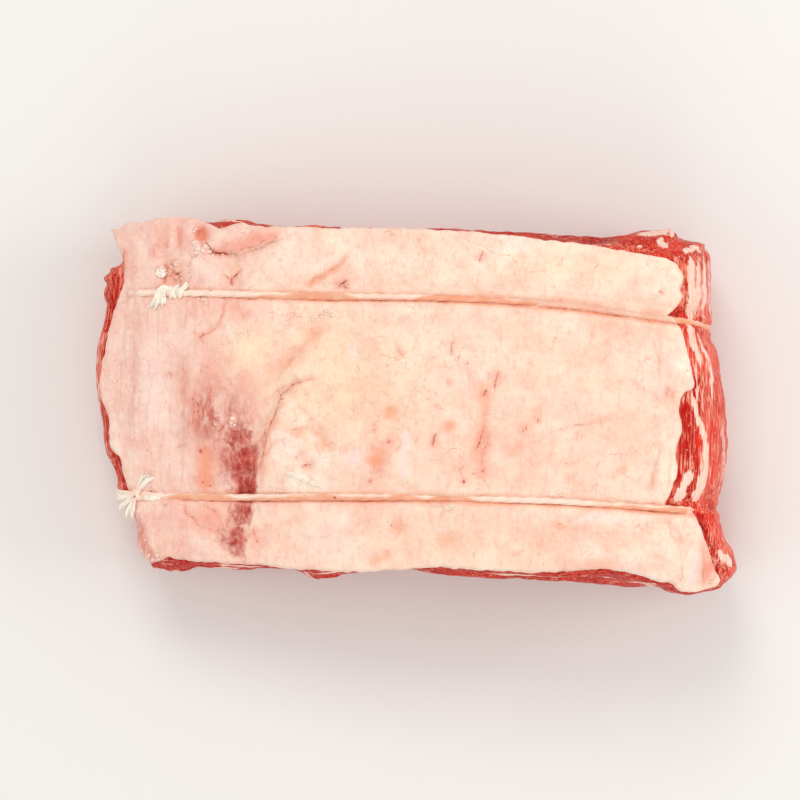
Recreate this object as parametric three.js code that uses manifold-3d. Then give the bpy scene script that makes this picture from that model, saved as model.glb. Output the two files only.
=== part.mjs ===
// Boneless beef rib roast, tied with two loops of butcher's twine, fat side up.
// Millimetres. X runs across the ribs from the thin tail (-X) to the chine side (+X),
// Y runs along the loin between the two cut faces, and Z is up. The roast rests on Z = 0.
import * as THREE from 'three';
import { mergeVertices } from 'three/addons/utils/BufferGeometryUtils.js';
import Module from 'manifold-3d';

const wasm = await Module();
wasm.setup();

// Driving dimensions.
const gap = 0.35; // clearance between touching pieces
const fitMargin = 0.08; // added to the gap where a faceted tube lies in its groove
const columns = 34; // grid squares across the fat cap
const rows = 22; // grid squares along it
const edgeCrowding = 0.72; // how much finer the grid is at its borders

const fatMiddle = 10; // thickness of the fat cap away from its edges
const fatTail = 7.5; // and over the thin tail
const fatRim = 6; // thickness at its cut edge, before the rounding
const fatRimReach = 18; // distance over which the rim grows to the full thickness
const fatEdgeRadius = 2.6; // rounding of its upper edge
const fatSpan = [250, 150]; // its rough size in plan, for the distance to its edge
const tailBlend = [-110, -20]; // along X, the tail's thickness grows to the middle's between these

const crownDrop = 3; // fall of the upper side from its middle to the cut faces
const halfLength = 82; // half the length between the cut faces
const bellyHeight = 22; // height at which the lean bulges out furthest
const baseShare = 0.945; // the base's plan size against the bulge's
const tuck = 0.975; // the lean's upper outline against the fat cap's
const browDepth = 4.2; // depth of that outline below the upper side, inside the fat cap
const wallTurn = 0.36; // share of the wall's rows that lie below the bulge
const wallRows = 10;
const sidewaysGrowth = 1.6; // grown edges move out by this many gaps, as they run at a slant
const growthReach = 0.04; // share of the width that moves with them

const twineRadius = 1.3;
const twineSink = 0.9; // depth the pulled twine presses into the surface
const twineLift = 0.05; // its lowest point above the surface that the roast rests on
const twineSteps = 64;
const twineSides = 6;
const troughShare = 0.83; // its width against the room round the twine
const troughHeight = 1.15; // height of the open groove for the twine under the roast
const troughOverrun = 4; // length by which it opens past the flat of the base
const sectionCentre = new THREE.Vector2(0, 40); // the twine is pushed out from here, in X and Z

// Height of the upper side along X, halfway between the cut faces.
const crown = [
  [-150, 43], [-135, 49], [-120, 55.5], [-80, 66], [-40, 75], [0, 82],
  [40, 87], [80, 88.5], [108, 85], [122, 79.5], [140, 68],
];

// Plan outline of the fat cap, in four sides that meet at its corners.
const fatOutline = {
  left: [
    [-120, -70], [-125.5, -63], [-126, -53], [-130, -39], [-132.5, -27], [-137, -19], [-138.6, -8],
    [-142.8, 8.8], [-140.6, 23], [-138.2, 36.7], [-133.6, 50.6], [-132.3, 60], [-133.6, 69.3], [-137, 78.4],
  ],
  right: [
    [131, -80], [133, -77.5], [127, -64], [118.4, -46.5], [107, -43], [111.6, -29], [112, -18], [113, -1],
    [118.8, 6.5], [118.4, 14], [113.7, 32], [107.2, 39], [113.5, 45.5], [114.6, 55], [112, 61], [107, 64],
  ],
  bottom: [
    [-120, -70], [-111.7, -67.3], [-95.8, -69.2], [-52, -71.8], [-22, -72.5], [12, -70.3],
    [61, -71.7], [82, -71], [103, -76], [114, -80.6], [125, -81.3], [131, -80],
  ],
  top: [
    [-137, 78.4], [-129, 81.5], [-113, 83.4], [-97, 81.3], [-87.3, 78.1], [-65.8, 78.4],
    [-8.5, 77.1], [22, 75], [52, 72], [85, 67], [107, 64],
  ],
};

// Plan outline of the lean where it bulges furthest.
const leanOutline = {
  left: [
    [-121, -73.2], [-126.3, -63.3], [-128.6, -49.7], [-136.5, -37], [-142.5, -21.8], [-145.2, -2], [-146, 12],
    [-145.5, 28], [-142, 44], [-143.2, 58], [-140.5, 61], [-133, 66], [-131, 77],
  ],
  right: [
    [139, -81.2], [146, -75.5], [139.5, -62], [134.4, -46.3], [138.5, -33], [139.7, -11],
    [138.1, 2.4], [133.8, 26], [130.4, 34], [133, 42], [132, 60], [129.5, 71.5],
  ],
  bottom: [
    [-121, -73.2], [-109.8, -74.5], [-100, -72], [-53.5, -73.6], [-45, -77.5], [-36, -75.5],
    [-11, -73.2], [12.6, -74.4], [59, -76.4], [89, -80.5], [118.4, -83.5], [139, -81.2],
  ],
  top: [
    [-131, 77], [-114.6, 81], [-83, 81.5], [-53.7, 80.8], [-8.5, 80.3], [23, 78.3], [55, 75.6],
    [80, 74.7], [95, 76.5], [105, 79.4], [115.7, 78], [121.6, 73.5], [129.5, 71.5],
  ],
};

// The two ties: their run over the upper side, how deep they crease it at the tail and at
// the chine, and each knot's place along the run, its turn in plan and its frayed ends.
const ties = {
  upper: {
    run: [[-150, 50.5], [-97, 49.7], [-53, 48], [12, 46.8], [62, 43.5], [104, 38], [128, 35], [150, 32]],
    crease: [1.2, 4.2],
    knotAt: -108,
    ends: [{ turn: -2.1, length: 9 }, { turn: 2.1, length: 8 }],
  },
  lower: {
    run: [[-150, -39], [-118, -40], [-83, -40.5], [-8, -40], [62, -41.5], [97, -44], [120, -46], [150, -47]],
    crease: [1.4, 3],
    knotAt: -125.7,
    ends: [
      { turn: 3.1, length: 9 }, { turn: -2.6, length: 8 },
      { turn: -1.85, length: 9 }, { turn: 1, length: 7 },
    ],
  },
};
const creaseWidth = 4.6;
const creaseBlend = [-60, 110]; // along X, the tail's crease depth grows to the chine's between these

// Larger relief of the fat cap. A hollow is a soft oval dent, or a lump when its depth is below zero.
const hollows = [
  { at: [-110, 58.5], reach: [4.5, 6.5], depth: 2.4 }, // torn crater above the knot
  { at: [-98, 75.5], reach: [4.5, 5.5], depth: 2.4 }, // torn notch at the far edge
  { at: [-97, 69.5], reach: [5, 3.5], depth: -1.6 }, // ragged lump below it
  { at: [-97.5, 58], reach: [6.5, 7], depth: -1 }, // the flat swell beside the crater
  { at: [-76, 35], reach: [9, 9], depth: -1 },
  { at: [-40, 30], reach: [26, 12], depth: 1.3 }, // within the arch of the membrane
  { at: [0, 8], reach: [22, 26], depth: -1.2 }, // swells over the middle
  { at: [70, -5], reach: [30, 18], depth: 1 }, // and sinks towards the chine
  { at: [-110, 0], reach: [14, 26], depth: 0.9 }, // and over the tail
  { at: [136, -82], reach: [20, 15], depth: 9 }, // the ragged corner droops
  { at: [-140, 82], reach: [16, 13], depth: 4 }, // and so does the flap across from it
];
// A fold is a soft valley along a line.
const folds = [
  { line: [[-113.5, 82], [-113.5, 68]], width: 2.6, depth: 1.2 }, // two across the flap at the tail
  { line: [[-106.5, 83], [-107, 69]], width: 2.4, depth: 1 },
  { line: [[-95, 71], [-90, 67], [-85, 67], [-72, 70.5], [-60, 76]], width: 2.6, depth: 1.6 }, // an overlap
  { line: [[-57, 11], [-69, -6], [-73.5, -20], [-75.5, -38]], width: 3.4, depth: 1.7 }, // long split
  { line: [[-50, 50], [-36, 60]], width: 2.4, depth: 1 }, // branching crease
];

// Muscles that stand a little proud of the seams on the two cut faces, as ovals in X and Z.
const muscles = [
  { at: [62, 34], reach: [50, 26], rise: 2.6 }, // the eye of the rib
  { at: [6, 58], reach: [38, 13], rise: 2 }, // the cap above it
  { at: [112, 58], reach: [14, 14], rise: 1.6 },
  { at: [-40, 30], reach: [26, 20], rise: 1.8 },
  { at: [-100, 28], reach: [26, 14], rise: 1.6 },
];
const muscleRim = 0.28; // width of each oval's slope, as a share of its size

function smoothShare(t) {
  return THREE.MathUtils.smoothstep(t, 0, 1);
}

function alongTable(table, x) {
  const last = table.length - 1;
  if (x <= table[0][0]) return table[0][1];
  if (x >= table[last][0]) return table[last][1];
  const next = table.findIndex((pair) => pair[0] > x);
  const [x0, y0] = table[next - 1];
  const [x1, y1] = table[next];
  const before = table[Math.max(next - 2, 0)];
  const after = table[Math.min(next + 1, last)];
  const slope0 = (y1 - before[1]) / (x1 - before[0]);
  const slope1 = (after[1] - y0) / (after[0] - x0);
  const span = x1 - x0;
  const t = (x - x0) / span;
  const rise = (2 * t ** 3 - 3 * t ** 2 + 1) * y0 + (3 * t ** 2 - 2 * t ** 3) * y1;
  return rise + span * ((t ** 3 - 2 * t ** 2 + t) * slope0 + (t ** 3 - t ** 2) * slope1);
}

function distanceToLine(x, y, line) {
  const here = new THREE.Vector3(x, y, 0);
  const nearest = new THREE.Vector3();
  let best = Infinity;
  for (let i = 1; i < line.length; i += 1) {
    const start = new THREE.Vector3(line[i - 1][0], line[i - 1][1], 0);
    const end = new THREE.Vector3(line[i][0], line[i][1], 0);
    new THREE.Line3(start, end).closestPointToPoint(here, true, nearest);
    best = Math.min(best, nearest.distanceTo(here));
  }
  return best;
}

// Height of the upper side without the marks that the twine leaves.
function freeHeight(x, y) {
  let z = alongTable(crown, x) - crownDrop * (y / halfLength) ** 2;
  for (const { at, reach, depth } of hollows) {
    z -= depth * Math.exp(-(((x - at[0]) / reach[0]) ** 2) - ((y - at[1]) / reach[1]) ** 2);
  }
  for (const { line, width, depth } of folds) {
    z -= depth * Math.exp(-((distanceToLine(x, y, line) / width) ** 2));
  }
  return z;
}

function creaseDepth(tie, x) {
  const [tailDepth, chineDepth] = tie.crease;
  return THREE.MathUtils.lerp(tailDepth, chineDepth, THREE.MathUtils.smoothstep(x, ...creaseBlend));
}

function topHeight(x, y) {
  let z = freeHeight(x, y);
  for (const tie of Object.values(ties)) {
    const off = (y - alongTable(tie.run, x)) / creaseWidth;
    z -= creaseDepth(tie, x) * Math.exp(-off * off);
  }
  return z;
}

// A plan patch between four border curves, and its border as one closed ring of points.
function planPatch(outline) {
  const side = {};
  for (const [name, points] of Object.entries(outline)) {
    const bends = points.map(([x, y]) => new THREE.Vector3(x, y, 0));
    side[name] = new THREE.CatmullRomCurve3(bends, false, 'centripetal');
  }
  return (u, v) => {
    const left = side.left.getPointAt(v);
    const right = side.right.getPointAt(v);
    const bottom = side.bottom.getPointAt(u);
    const top = side.top.getPointAt(u);
    const across = left.clone().lerp(right, u);
    const along = bottom.clone().lerp(top, v);
    const lowCorners = side.left.getPointAt(0).lerp(side.right.getPointAt(0), u);
    const highCorners = side.left.getPointAt(1).lerp(side.right.getPointAt(1), u);
    return across.add(along).sub(lowCorners.lerp(highCorners, v));
  };
}

function crowded(t) {
  return t - (edgeCrowding * Math.sin(2 * Math.PI * t)) / (2 * Math.PI);
}

// Grid places of the border, counter-clockwise from the near left corner.
function borderPlaces() {
  const places = [];
  for (let i = 0; i < columns; i += 1) places.push([i, 0]);
  for (let j = 0; j < rows; j += 1) places.push([columns, j]);
  for (let i = columns; i > 0; i -= 1) places.push([i, rows]);
  for (let j = rows; j > 0; j -= 1) places.push([0, j]);
  return places;
}

function gridIndex(i, j) {
  return j * (columns + 1) + i;
}

function gridFaces(start, up) {
  const faces = [];
  for (let j = 0; j < rows; j += 1) {
    for (let i = 0; i < columns; i += 1) {
      const a = start + gridIndex(i, j);
      const b = start + gridIndex(i + 1, j);
      const c = start + gridIndex(i + 1, j + 1);
      const d = start + gridIndex(i, j + 1);
      if (up) faces.push(a, b, c, a, c, d);
      else faces.push(a, c, b, a, d, c);
    }
  }
  return faces;
}

function closedMesh(points, faces) {
  const geometry = new THREE.BufferGeometry();
  geometry.setAttribute('position', new THREE.Float32BufferAttribute(points.flat(), 3));
  geometry.setIndex(faces);
  return geometry;
}

function toSolid(geometry) {
  const bare = geometry.clone();
  bare.deleteAttribute('normal');
  bare.deleteAttribute('uv');
  const merged = mergeVertices(bare, 1e-4);
  return new wasm.Manifold(new wasm.Mesh({
    numProp: 3,
    vertProperties: new Float32Array(merged.attributes.position.array),
    triVerts: new Uint32Array(merged.index.array),
  }));
}

function fromSolid(solid) {
  const { vertProperties, triVerts } = solid.getMesh();
  const geometry = new THREE.BufferGeometry();
  geometry.setAttribute('position', new THREE.BufferAttribute(vertProperties, 3));
  geometry.setIndex(new THREE.BufferAttribute(triVerts, 1));
  return geometry;
}

const fatPatch = planPatch(fatOutline);
const leanPatch = planPatch(leanOutline);

function fatThickness(x, edgeDistance) {
  const full = THREE.MathUtils.lerp(fatTail, fatMiddle, THREE.MathUtils.smoothstep(x, ...tailBlend));
  return THREE.MathUtils.lerp(fatRim, full, smoothShare(edgeDistance / fatRimReach));
}

function edgeDrop(edgeDistance) {
  if (edgeDistance >= fatEdgeRadius) return 0;
  const inward = fatEdgeRadius - edgeDistance;
  return fatEdgeRadius - Math.sqrt(fatEdgeRadius ** 2 - inward ** 2);
}

// 1 on the border itself, falling to 0 a little way in.
function borderShare(t) {
  return 1 - smoothShare(t / growthReach);
}

// The fat cap as an upper and a lower grid joined round their borders. Grown by the gap,
// the same form cuts its own room out of the lean.
function fatCap(grow) {
  const upper = [];
  const lower = [];
  for (let j = 0; j <= rows; j += 1) {
    for (let i = 0; i <= columns; i += 1) {
      const u = crowded(i / columns);
      const v = crowded(j / rows);
      const { x, y } = fatPatch(u, v);
      const edgeDistance = Math.min(Math.min(u, 1 - u) * fatSpan[0], Math.min(v, 1 - v) * fatSpan[1]);
      const outX = x + sidewaysGrowth * grow * (borderShare(1 - u) - borderShare(u));
      const outY = y + sidewaysGrowth * grow * (borderShare(1 - v) - borderShare(v));
      const top = topHeight(outX, outY);
      upper.push([outX, outY, top - edgeDrop(edgeDistance) + grow]);
      lower.push([outX, outY, top - fatThickness(x, edgeDistance) - grow]);
    }
  }
  const faces = [...gridFaces(0, true), ...gridFaces(upper.length, false)];
  const border = borderPlaces();
  border.forEach(([i, j], k) => {
    const [nextI, nextJ] = border[(k + 1) % border.length];
    const a = gridIndex(i, j);
    const b = gridIndex(nextI, nextJ);
    faces.push(a, a + upper.length, b + upper.length, a, b + upper.length, b);
  });
  return toSolid(closedMesh([...upper, ...lower], faces));
}

function muscleRise(x, z) {
  let rise = 0;
  for (const muscle of muscles) {
    const away = Math.hypot((x - muscle.at[0]) / muscle.reach[0], (z - muscle.at[1]) / muscle.reach[1]);
    rise = Math.max(rise, muscle.rise * (1 - smoothShare((away - 1 + muscleRim) / muscleRim)));
  }
  return rise;
}

// A point of the lean's wall: out from the base to the bulge, then in to the fat cap's edge.
function wallPoint(u, v, share) {
  const bulge = leanPatch(u, v);
  const brow = fatPatch(u, v).multiplyScalar(tuck);
  const browHeight = topHeight(brow.x, brow.y) - browDepth;
  const point = new THREE.Vector3();
  if (share < wallTurn) {
    const angle = (share / wallTurn) * (Math.PI / 2);
    point.copy(bulge).multiplyScalar(THREE.MathUtils.lerp(baseShare, 1, Math.sin(angle)));
    point.z = bellyHeight * (1 - Math.cos(angle));
    return point;
  }
  const angle = ((share - wallTurn) / (1 - wallTurn)) * (Math.PI / 2);
  point.copy(bulge).lerp(brow, 1 - Math.cos(angle));
  point.z = THREE.MathUtils.lerp(bellyHeight, browHeight, Math.sin(angle));
  return point;
}

function leanBody() {
  const border = borderPlaces();
  const points = [[0, 0, 0]];
  for (let k = 0; k <= wallRows; k += 1) {
    for (const [i, j] of border) {
      const point = wallPoint(crowded(i / columns), crowded(j / rows), k / wallRows);
      const onCutFace = j === 0 || j === rows;
      const fade = Math.sin((Math.PI * k) / wallRows);
      if (onCutFace) point.y += Math.sign(point.y) * fade * muscleRise(point.x, point.z);
      points.push(point.toArray());
    }
  }
  const faces = [];
  const ring = border.length;
  for (let n = 0; n < ring; n += 1) {
    const next = (n + 1) % ring;
    faces.push(0, 1 + next, 1 + n);
    for (let k = 0; k < wallRows; k += 1) {
      const low = 1 + k * ring;
      const high = low + ring;
      faces.push(low + n, low + next, high + next, low + n, high + next, high + n);
    }
  }
  return toSolid(closedMesh([...points, ...leanRoof(points.length - ring, faces, points.length)], faces));
}

// The lean's hidden upper side, inside the fat cap's thickness, closed onto the wall's last ring.
function leanRoof(lastRing, faces, start) {
  const inner = [];
  const place = new Map();
  borderPlaces().forEach(([i, j], n) => place.set(gridIndex(i, j), lastRing + n));
  for (let j = 1; j < rows; j += 1) {
    for (let i = 1; i < columns; i += 1) {
      const { x, y } = fatPatch(crowded(i / columns), crowded(j / rows)).multiplyScalar(tuck);
      place.set(gridIndex(i, j), start + inner.length);
      inner.push([x, y, topHeight(x, y) - browDepth]);
    }
  }
  for (const corner of gridFaces(0, true)) faces.push(place.get(corner));
  return inner;
}

function convexHull(points) {
  const sorted = [...points].sort((p, q) => p.x - q.x || p.y - q.y);
  const turn = (o, p, q) => (p.x - o.x) * (q.y - o.y) - (p.y - o.y) * (q.x - o.x);
  const chain = (list) => {
    const kept = [];
    for (const point of list) {
      while (kept.length > 1 && turn(kept.at(-2), kept.at(-1), point) <= 0) kept.pop();
      kept.push(point);
    }
    return kept.slice(0, -1);
  };
  return [...chain(sorted), ...chain(sorted.reverse())];
}

// The point at a given Y on a curve that runs along the roast.
function pointAtY(curve, y) {
  let low = 0;
  let high = 1;
  for (let n = 0; n < 20; n += 1) {
    const half = (low + high) / 2;
    if (curve(half).y < y) low = half;
    else high = half;
  }
  return curve((low + high) / 2);
}

// The taut twine takes the shortest way round the roast's section: the hull of its outline in X and Z.
function tieRoute(tie) {
  const outline = [];
  const runEnd = (x) => alongTable(tie.run, x);
  const fatEnds = [];
  for (const [side, edgeX] of [[0, -140], [1, 132]]) {
    const y = runEnd(edgeX);
    for (let k = 0; k <= 2 * wallRows; k += 1) {
      const point = pointAtY((v) => wallPoint(side, v, k / (2 * wallRows)), y);
      outline.push(new THREE.Vector2(point.x, point.z));
    }
    fatEnds.push(pointAtY((v) => fatPatch(side, v), y).x);
  }
  for (let x = fatEnds[0] + fatEdgeRadius; x <= fatEnds[1] - fatEdgeRadius; x += 4) {
    outline.push(new THREE.Vector2(x, freeHeight(x, runEnd(x)) - creaseDepth(tie, x)));
  }
  const hull = convexHull(outline);
  const hug = twineRadius - twineSink;
  const loop = hull.map((point) => {
    const outward = point.clone().sub(sectionCentre).normalize().multiplyScalar(hug);
    const height = Math.max(point.y + outward.y, twineRadius + twineLift);
    return new THREE.Vector3(point.x + outward.x, runEnd(point.x), height);
  });
  const polygon = new THREE.CatmullRomCurve3(loop, true, 'centripetal');
  return new THREE.CatmullRomCurve3(polygon.getSpacedPoints(twineSteps).slice(0, -1), true, 'centripetal');
}

function placed(geometry, position, turn) {
  const matrix = new THREE.Matrix4().makeRotationZ(turn);
  return toSolid(geometry.applyMatrix4(matrix.setPosition(position)));
}

// A knot is a squat lump with one turn of twine round it, and a frayed tuft for each cut end.
function knot(tie, centre, grow) {
  const lump = new THREE.SphereGeometry(1, 10, 7).scale(3.4 + grow, 2.8 + grow, 2.1 + grow);
  const turnOfTwine = new THREE.TorusGeometry(2.5, 1.15 + grow, 6, 12);
  let solid = placed(lump, centre, 0.3).add(placed(turnOfTwine.rotateX(0.5), centre, -0.4));
  for (const { turn, length } of tie.ends) {
    const tuft = new THREE.CylinderGeometry(2.7 + grow, 1.1 + grow, length + 2 * grow, 8);
    tuft.scale(1, 1, 0.5).rotateZ(-Math.PI / 2).translate(length / 2 + 1, 0, 0);
    solid = solid.add(placed(tuft.rotateY(-0.12), centre, turn));
  }
  return solid;
}

function tieSolid(tie, grow) {
  const loop = new THREE.TubeGeometry(tieRoute(tie), twineSteps, twineRadius + grow, twineSides, true);
  const y = alongTable(tie.run, tie.knotAt);
  const z = topHeight(tie.knotAt, y) + twineRadius;
  return toSolid(loop).add(knot(tie, new THREE.Vector3(tie.knotAt, y, z), grow));
}

// The room a tie needs in the meat: its own form grown by the clearance, and along the underside
// an open trough in place of a tunnel.
function tieRoom(tie) {
  const grow = gap + fitMargin;
  const ends = [[0, -140], [1, 132]].map(([side, edgeX]) => (
    pointAtY((v) => wallPoint(side, v, 0), alongTable(tie.run, edgeX))));
  const across = ends[1].clone().sub(ends[0]);
  const width = troughShare * 2 * (twineRadius + grow);
  const trough = new THREE.BoxGeometry(across.length() + 2 * troughOverrun, width, 2 * troughHeight);
  const middle = ends[0].add(ends[1]).multiplyScalar(0.5);
  return tieSolid(tie, grow).add(placed(trough, middle, Math.atan2(across.y, across.x)));
}

function piece(name, solid, look) {
  const mesh = new THREE.Mesh(fromSolid(solid), new THREE.MeshStandardMaterial(look));
  mesh.name = name;
  return mesh;
}

const leanLook = { color: 0xb8403a, roughness: 0.42, metalness: 0 };
const fatLook = { color: 0xf4d9c4, roughness: 0.5, metalness: 0 };
const twineLook = { color: 0xf3ead8, roughness: 0.85, metalness: 0 };

let lean = leanBody().subtract(fatCap(gap));
let fat = fatCap(0);
const roast = new THREE.Group();
for (const [name, tie] of Object.entries(ties)) {
  const room = tieRoom(tie);
  lean = lean.subtract(room);
  fat = fat.subtract(room);
  roast.add(piece(`twine_${name}`, tieSolid(tie, 0), twineLook));
}
roast.add(piece('lean', lean, leanLook), piece('fat_cap', fat, fatLook));

// The row's origin is the middle of the base.
const box = new THREE.Box3().setFromObject(roast);
const middle = box.getCenter(new THREE.Vector3());
roast.position.set(-middle.x, -middle.y, -box.min.z);

export default roast;
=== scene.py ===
import math
import bpy
import numpy as np
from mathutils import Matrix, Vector


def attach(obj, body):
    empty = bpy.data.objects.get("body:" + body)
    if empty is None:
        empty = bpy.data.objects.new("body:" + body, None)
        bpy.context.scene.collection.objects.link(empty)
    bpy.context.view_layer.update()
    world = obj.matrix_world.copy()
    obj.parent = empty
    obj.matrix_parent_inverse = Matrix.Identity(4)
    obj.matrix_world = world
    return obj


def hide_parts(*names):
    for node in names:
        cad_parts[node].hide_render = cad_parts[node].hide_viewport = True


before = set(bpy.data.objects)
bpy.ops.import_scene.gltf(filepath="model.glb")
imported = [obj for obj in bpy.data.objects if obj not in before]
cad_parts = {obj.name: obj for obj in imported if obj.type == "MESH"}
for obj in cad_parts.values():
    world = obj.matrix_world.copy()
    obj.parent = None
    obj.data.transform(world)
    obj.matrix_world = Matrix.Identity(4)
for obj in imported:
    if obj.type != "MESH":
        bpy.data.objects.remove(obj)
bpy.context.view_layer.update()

mm = 0.001
print("frame loaded")

# Millimetres. X runs from the thin tail to the chine side, Y between the cut faces, Z up.
roast = {
    "frameShift": (0.278, 0.356),  # from this drawing to the frame
    "crown": [  # height of the upper side along X
        (-150, 43), (-135, 49), (-120, 55.5), (-80, 66), (-40, 75), (0, 82),
        (40, 87), (80, 88.5), (108, 85), (122, 79.5), (140, 68),
    ],
    "crownDrop": 3,  # fall from the middle to the cut faces
    "halfLength": 82,
    "hollows": [  # place, reach and depth; below zero is a swell
        ((-110, 58.5), (4.5, 6.5), 2.4), ((-98, 75.5), (4.5, 5.5), 2.4),
        ((-97, 69.5), (5, 3.5), -1.6), ((-97.5, 58), (6.5, 7), -1.0),
        ((-76, 35), (9, 9), -1.0), ((-40, 30), (26, 12), 1.3),
        ((0, 8), (22, 26), -1.2), ((70, -5), (30, 18), 1.0),
        ((-110, 0), (14, 26), 0.9), ((136, -82), (20, 15), 9.0), ((-140, 82), (16, 13), 4.0),
    ],
    "folds": [  # line, width and depth
        ([(-113.5, 82), (-113.5, 68)], 2.6, 1.2), ([(-106.5, 83), (-107, 69)], 2.4, 1.0),
        ([(-95, 71), (-90, 67), (-85, 67), (-72, 70.5), (-60, 76)], 2.6, 1.6),
        ([(-57, 11), (-69, -6), (-73.5, -20), (-75.5, -38)], 3.4, 1.7),
        ([(-50, 50), (-36, 60)], 2.4, 1.0),
    ],
    "bellyHeight": 22,  # where the lean bulges furthest
    "baseShare": 0.945,
    "tuck": 0.975,  # the lean's upper outline against the fat cap's
    "wallTurn": 0.36,  # share of the wall below the bulge
}

# The two ties: run over the upper side, crease depth at tail and chine, knot place and its ends.
ties = {
    "upper": {
        "run": [(-150, 50.5), (-97, 49.7), (-53, 48), (12, 46.8), (62, 43.5), (104, 38), (128, 35), (150, 32)],
        "crease": (1.2, 4.2),
        "knotAt": -108,
        "hidden": [(-124.3, -1, 14, 4.8), (40, 1, 46, 0.3)],  # from this X outward and this Z up, by so much
        # stain along X; the same amount sets the painted shade on the twine's lower side
        "stainAndShade": [(-150, 0.2), (-110, 0.05), (-86, 0.1), (-74, 0.42), (-64, 0.74), (-56, 0.84), (-36, 0.84),
                  (-28, 0.68), (-6, 0.68), (4, 1.0), (34, 1.05), (44, 0.7), (62, 0.56), (100, 0.66),
                  (110, 0.95), (150, 0.9)],
    },
    "lower": {
        "run": [(-150, -39), (-118, -40), (-83, -40.5), (-8, -40), (62, -41.5), (97, -44), (120, -46), (150, -47)],
        "crease": (1.4, 3.0),
        "knotAt": -125.7,
        "hidden": [(119, 1, 10, 2.6)],
        # stain along X; the same amount sets the painted shade on the twine's lower side
        "stainAndShade": [(-150, 0.3), (-116, 0.25), (-111, 0.85), (-90, 0.92), (-80, 0.72), (-62, 0.66), (-54, 0.8),
                  (4, 0.84), (14, 0.78), (24, 0.5), (32, 0.12), (64, 0.08), (78, 0.5), (88, 0.76), (112, 0.72),
                  (150, 0.5)],
    },
}
creaseWidth = 4.6
creaseBlend = (-60, 110)


def smoothShare(t):
    t = np.clip(t, 0, 1)
    return t * t * (3 - 2 * t)


def softNoise(x, y, size, seed):
    # smooth value noise from -1 to 1 with grains of that size
    grid = np.random.default_rng(seed).uniform(-1, 1, (64, 64))
    gx, gy = x / size + 31.7, y / size + 17.3
    ix, iy = np.floor(gx).astype(int), np.floor(gy).astype(int)
    fx, fy = smoothShare(gx - ix), smoothShare(gy - iy)
    low = grid[ix % 64, iy % 64] * (1 - fx) + grid[(ix + 1) % 64, iy % 64] * fx
    high = grid[ix % 64, (iy + 1) % 64] * (1 - fx) + grid[(ix + 1) % 64, (iy + 1) % 64] * fx
    return low * (1 - fy) + high * fy


def alongTable(table, x):
    xs, ys = np.array(table, float).T
    before = np.r_[0, np.arange(len(xs) - 1)]
    after = np.r_[np.arange(1, len(xs)), len(xs) - 1]
    slopes = (ys[after] - ys[before]) / (xs[after] - xs[before])
    x = np.clip(x, xs[0], xs[-1])
    k = np.clip(np.searchsorted(xs, x, side="right") - 1, 0, len(xs) - 2)
    span = xs[k + 1] - xs[k]
    t = (x - xs[k]) / span
    level = (2 * t**3 - 3 * t**2 + 1) * ys[k] + (3 * t**2 - 2 * t**3) * ys[k + 1]
    return level + span * ((t**3 - 2 * t**2 + t) * slopes[k] + (t**3 - t**2) * slopes[k + 1])


def nearLine(x, y, line):
    # distance to the line, share of the way along it, and side (1 on its left)
    best, share, side = (np.full(np.shape(x), value) for value in (1e9, 0.0, 1.0))
    lengths = [math.dist(a, b) for a, b in zip(line, line[1:])]
    done = 0.0
    for ((x0, y0), (x1, y1)), length in zip(zip(line, line[1:]), lengths):
        dx, dy = x1 - x0, y1 - y0
        t = np.clip(((x - x0) * dx + (y - y0) * dy) / (dx * dx + dy * dy + 1e-9), 0, 1)
        away = np.hypot(x - x0 - t * dx, y - y0 - t * dy)
        closer = away < best
        best = np.where(closer, away, best)
        share = np.where(closer, (done + t * length) / sum(lengths), share)
        side = np.where(closer, np.sign((y - y0) * dx - (x - x0) * dy), side)
        done += length
    return best, share, side


def lineDistance(x, y, line):
    return nearLine(x, y, line)[0]


def freeHeight(x, y):
    z = alongTable(roast["crown"], x) - roast["crownDrop"] * (y / roast["halfLength"]) ** 2
    for (cx, cy), (rx, ry), depth in roast["hollows"]:
        z = z - depth * np.exp(-(((x - cx) / rx) ** 2) - ((y - cy) / ry) ** 2)
    for line, width, depth in roast["folds"]:
        z = z - depth * np.exp(-((lineDistance(x, y, line) / width) ** 2))
    return z


def creaseDepth(tie, x):
    share = smoothShare((x - creaseBlend[0]) / (creaseBlend[1] - creaseBlend[0]))
    return tie["crease"][0] + (tie["crease"][1] - tie["crease"][0]) * share


def topHeight(x, y):
    z = freeHeight(x, y)
    for tie in ties.values():
        off = (y - alongTable(tie["run"], x)) / creaseWidth
        z = z - creaseDepth(tie, x) * np.exp(-off * off)
    return z


def smoothCurve(points, closed=False, samples=16):
    # centripetal curve through the points
    p = np.array(points, float)
    p = np.vstack([p[-1], p, p[:2]]) if closed else np.vstack([2 * p[0] - p[1], p, 2 * p[-1] - p[-2]])
    t = np.linspace(0, 1, samples, endpoint=False)[:, None]
    parts = []
    for a, b, c, d in zip(p, p[1:], p[2:], p[3:]):
        ta, tb, tc = (max(np.linalg.norm(q - r), 1e-6) ** 0.5 for q, r in ((b, a), (c, b), (d, c)))
        m0 = ((b - a) / ta - (c - a) / (ta + tb) + (c - b) / tb) * tb
        m1 = ((c - b) / tb - (d - b) / (tb + tc) + (d - c) / tc) * tb
        parts.append(b + m0 * t + (3 * (c - b) - 2 * m0 - m1) * t**2 + (2 * (b - c) + m0 + m1) * t**3)
    return np.vstack(parts + [p[-2][None]])


def evenly(curve, share):
    # points at shares of the curve's length
    steps = np.r_[0, np.cumsum(np.linalg.norm(np.diff(curve, axis=0), axis=1))]
    return np.stack([np.interp(np.asarray(share) * steps[-1], steps, curve[:, k]) for k in range(curve.shape[1])], -1)


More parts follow.
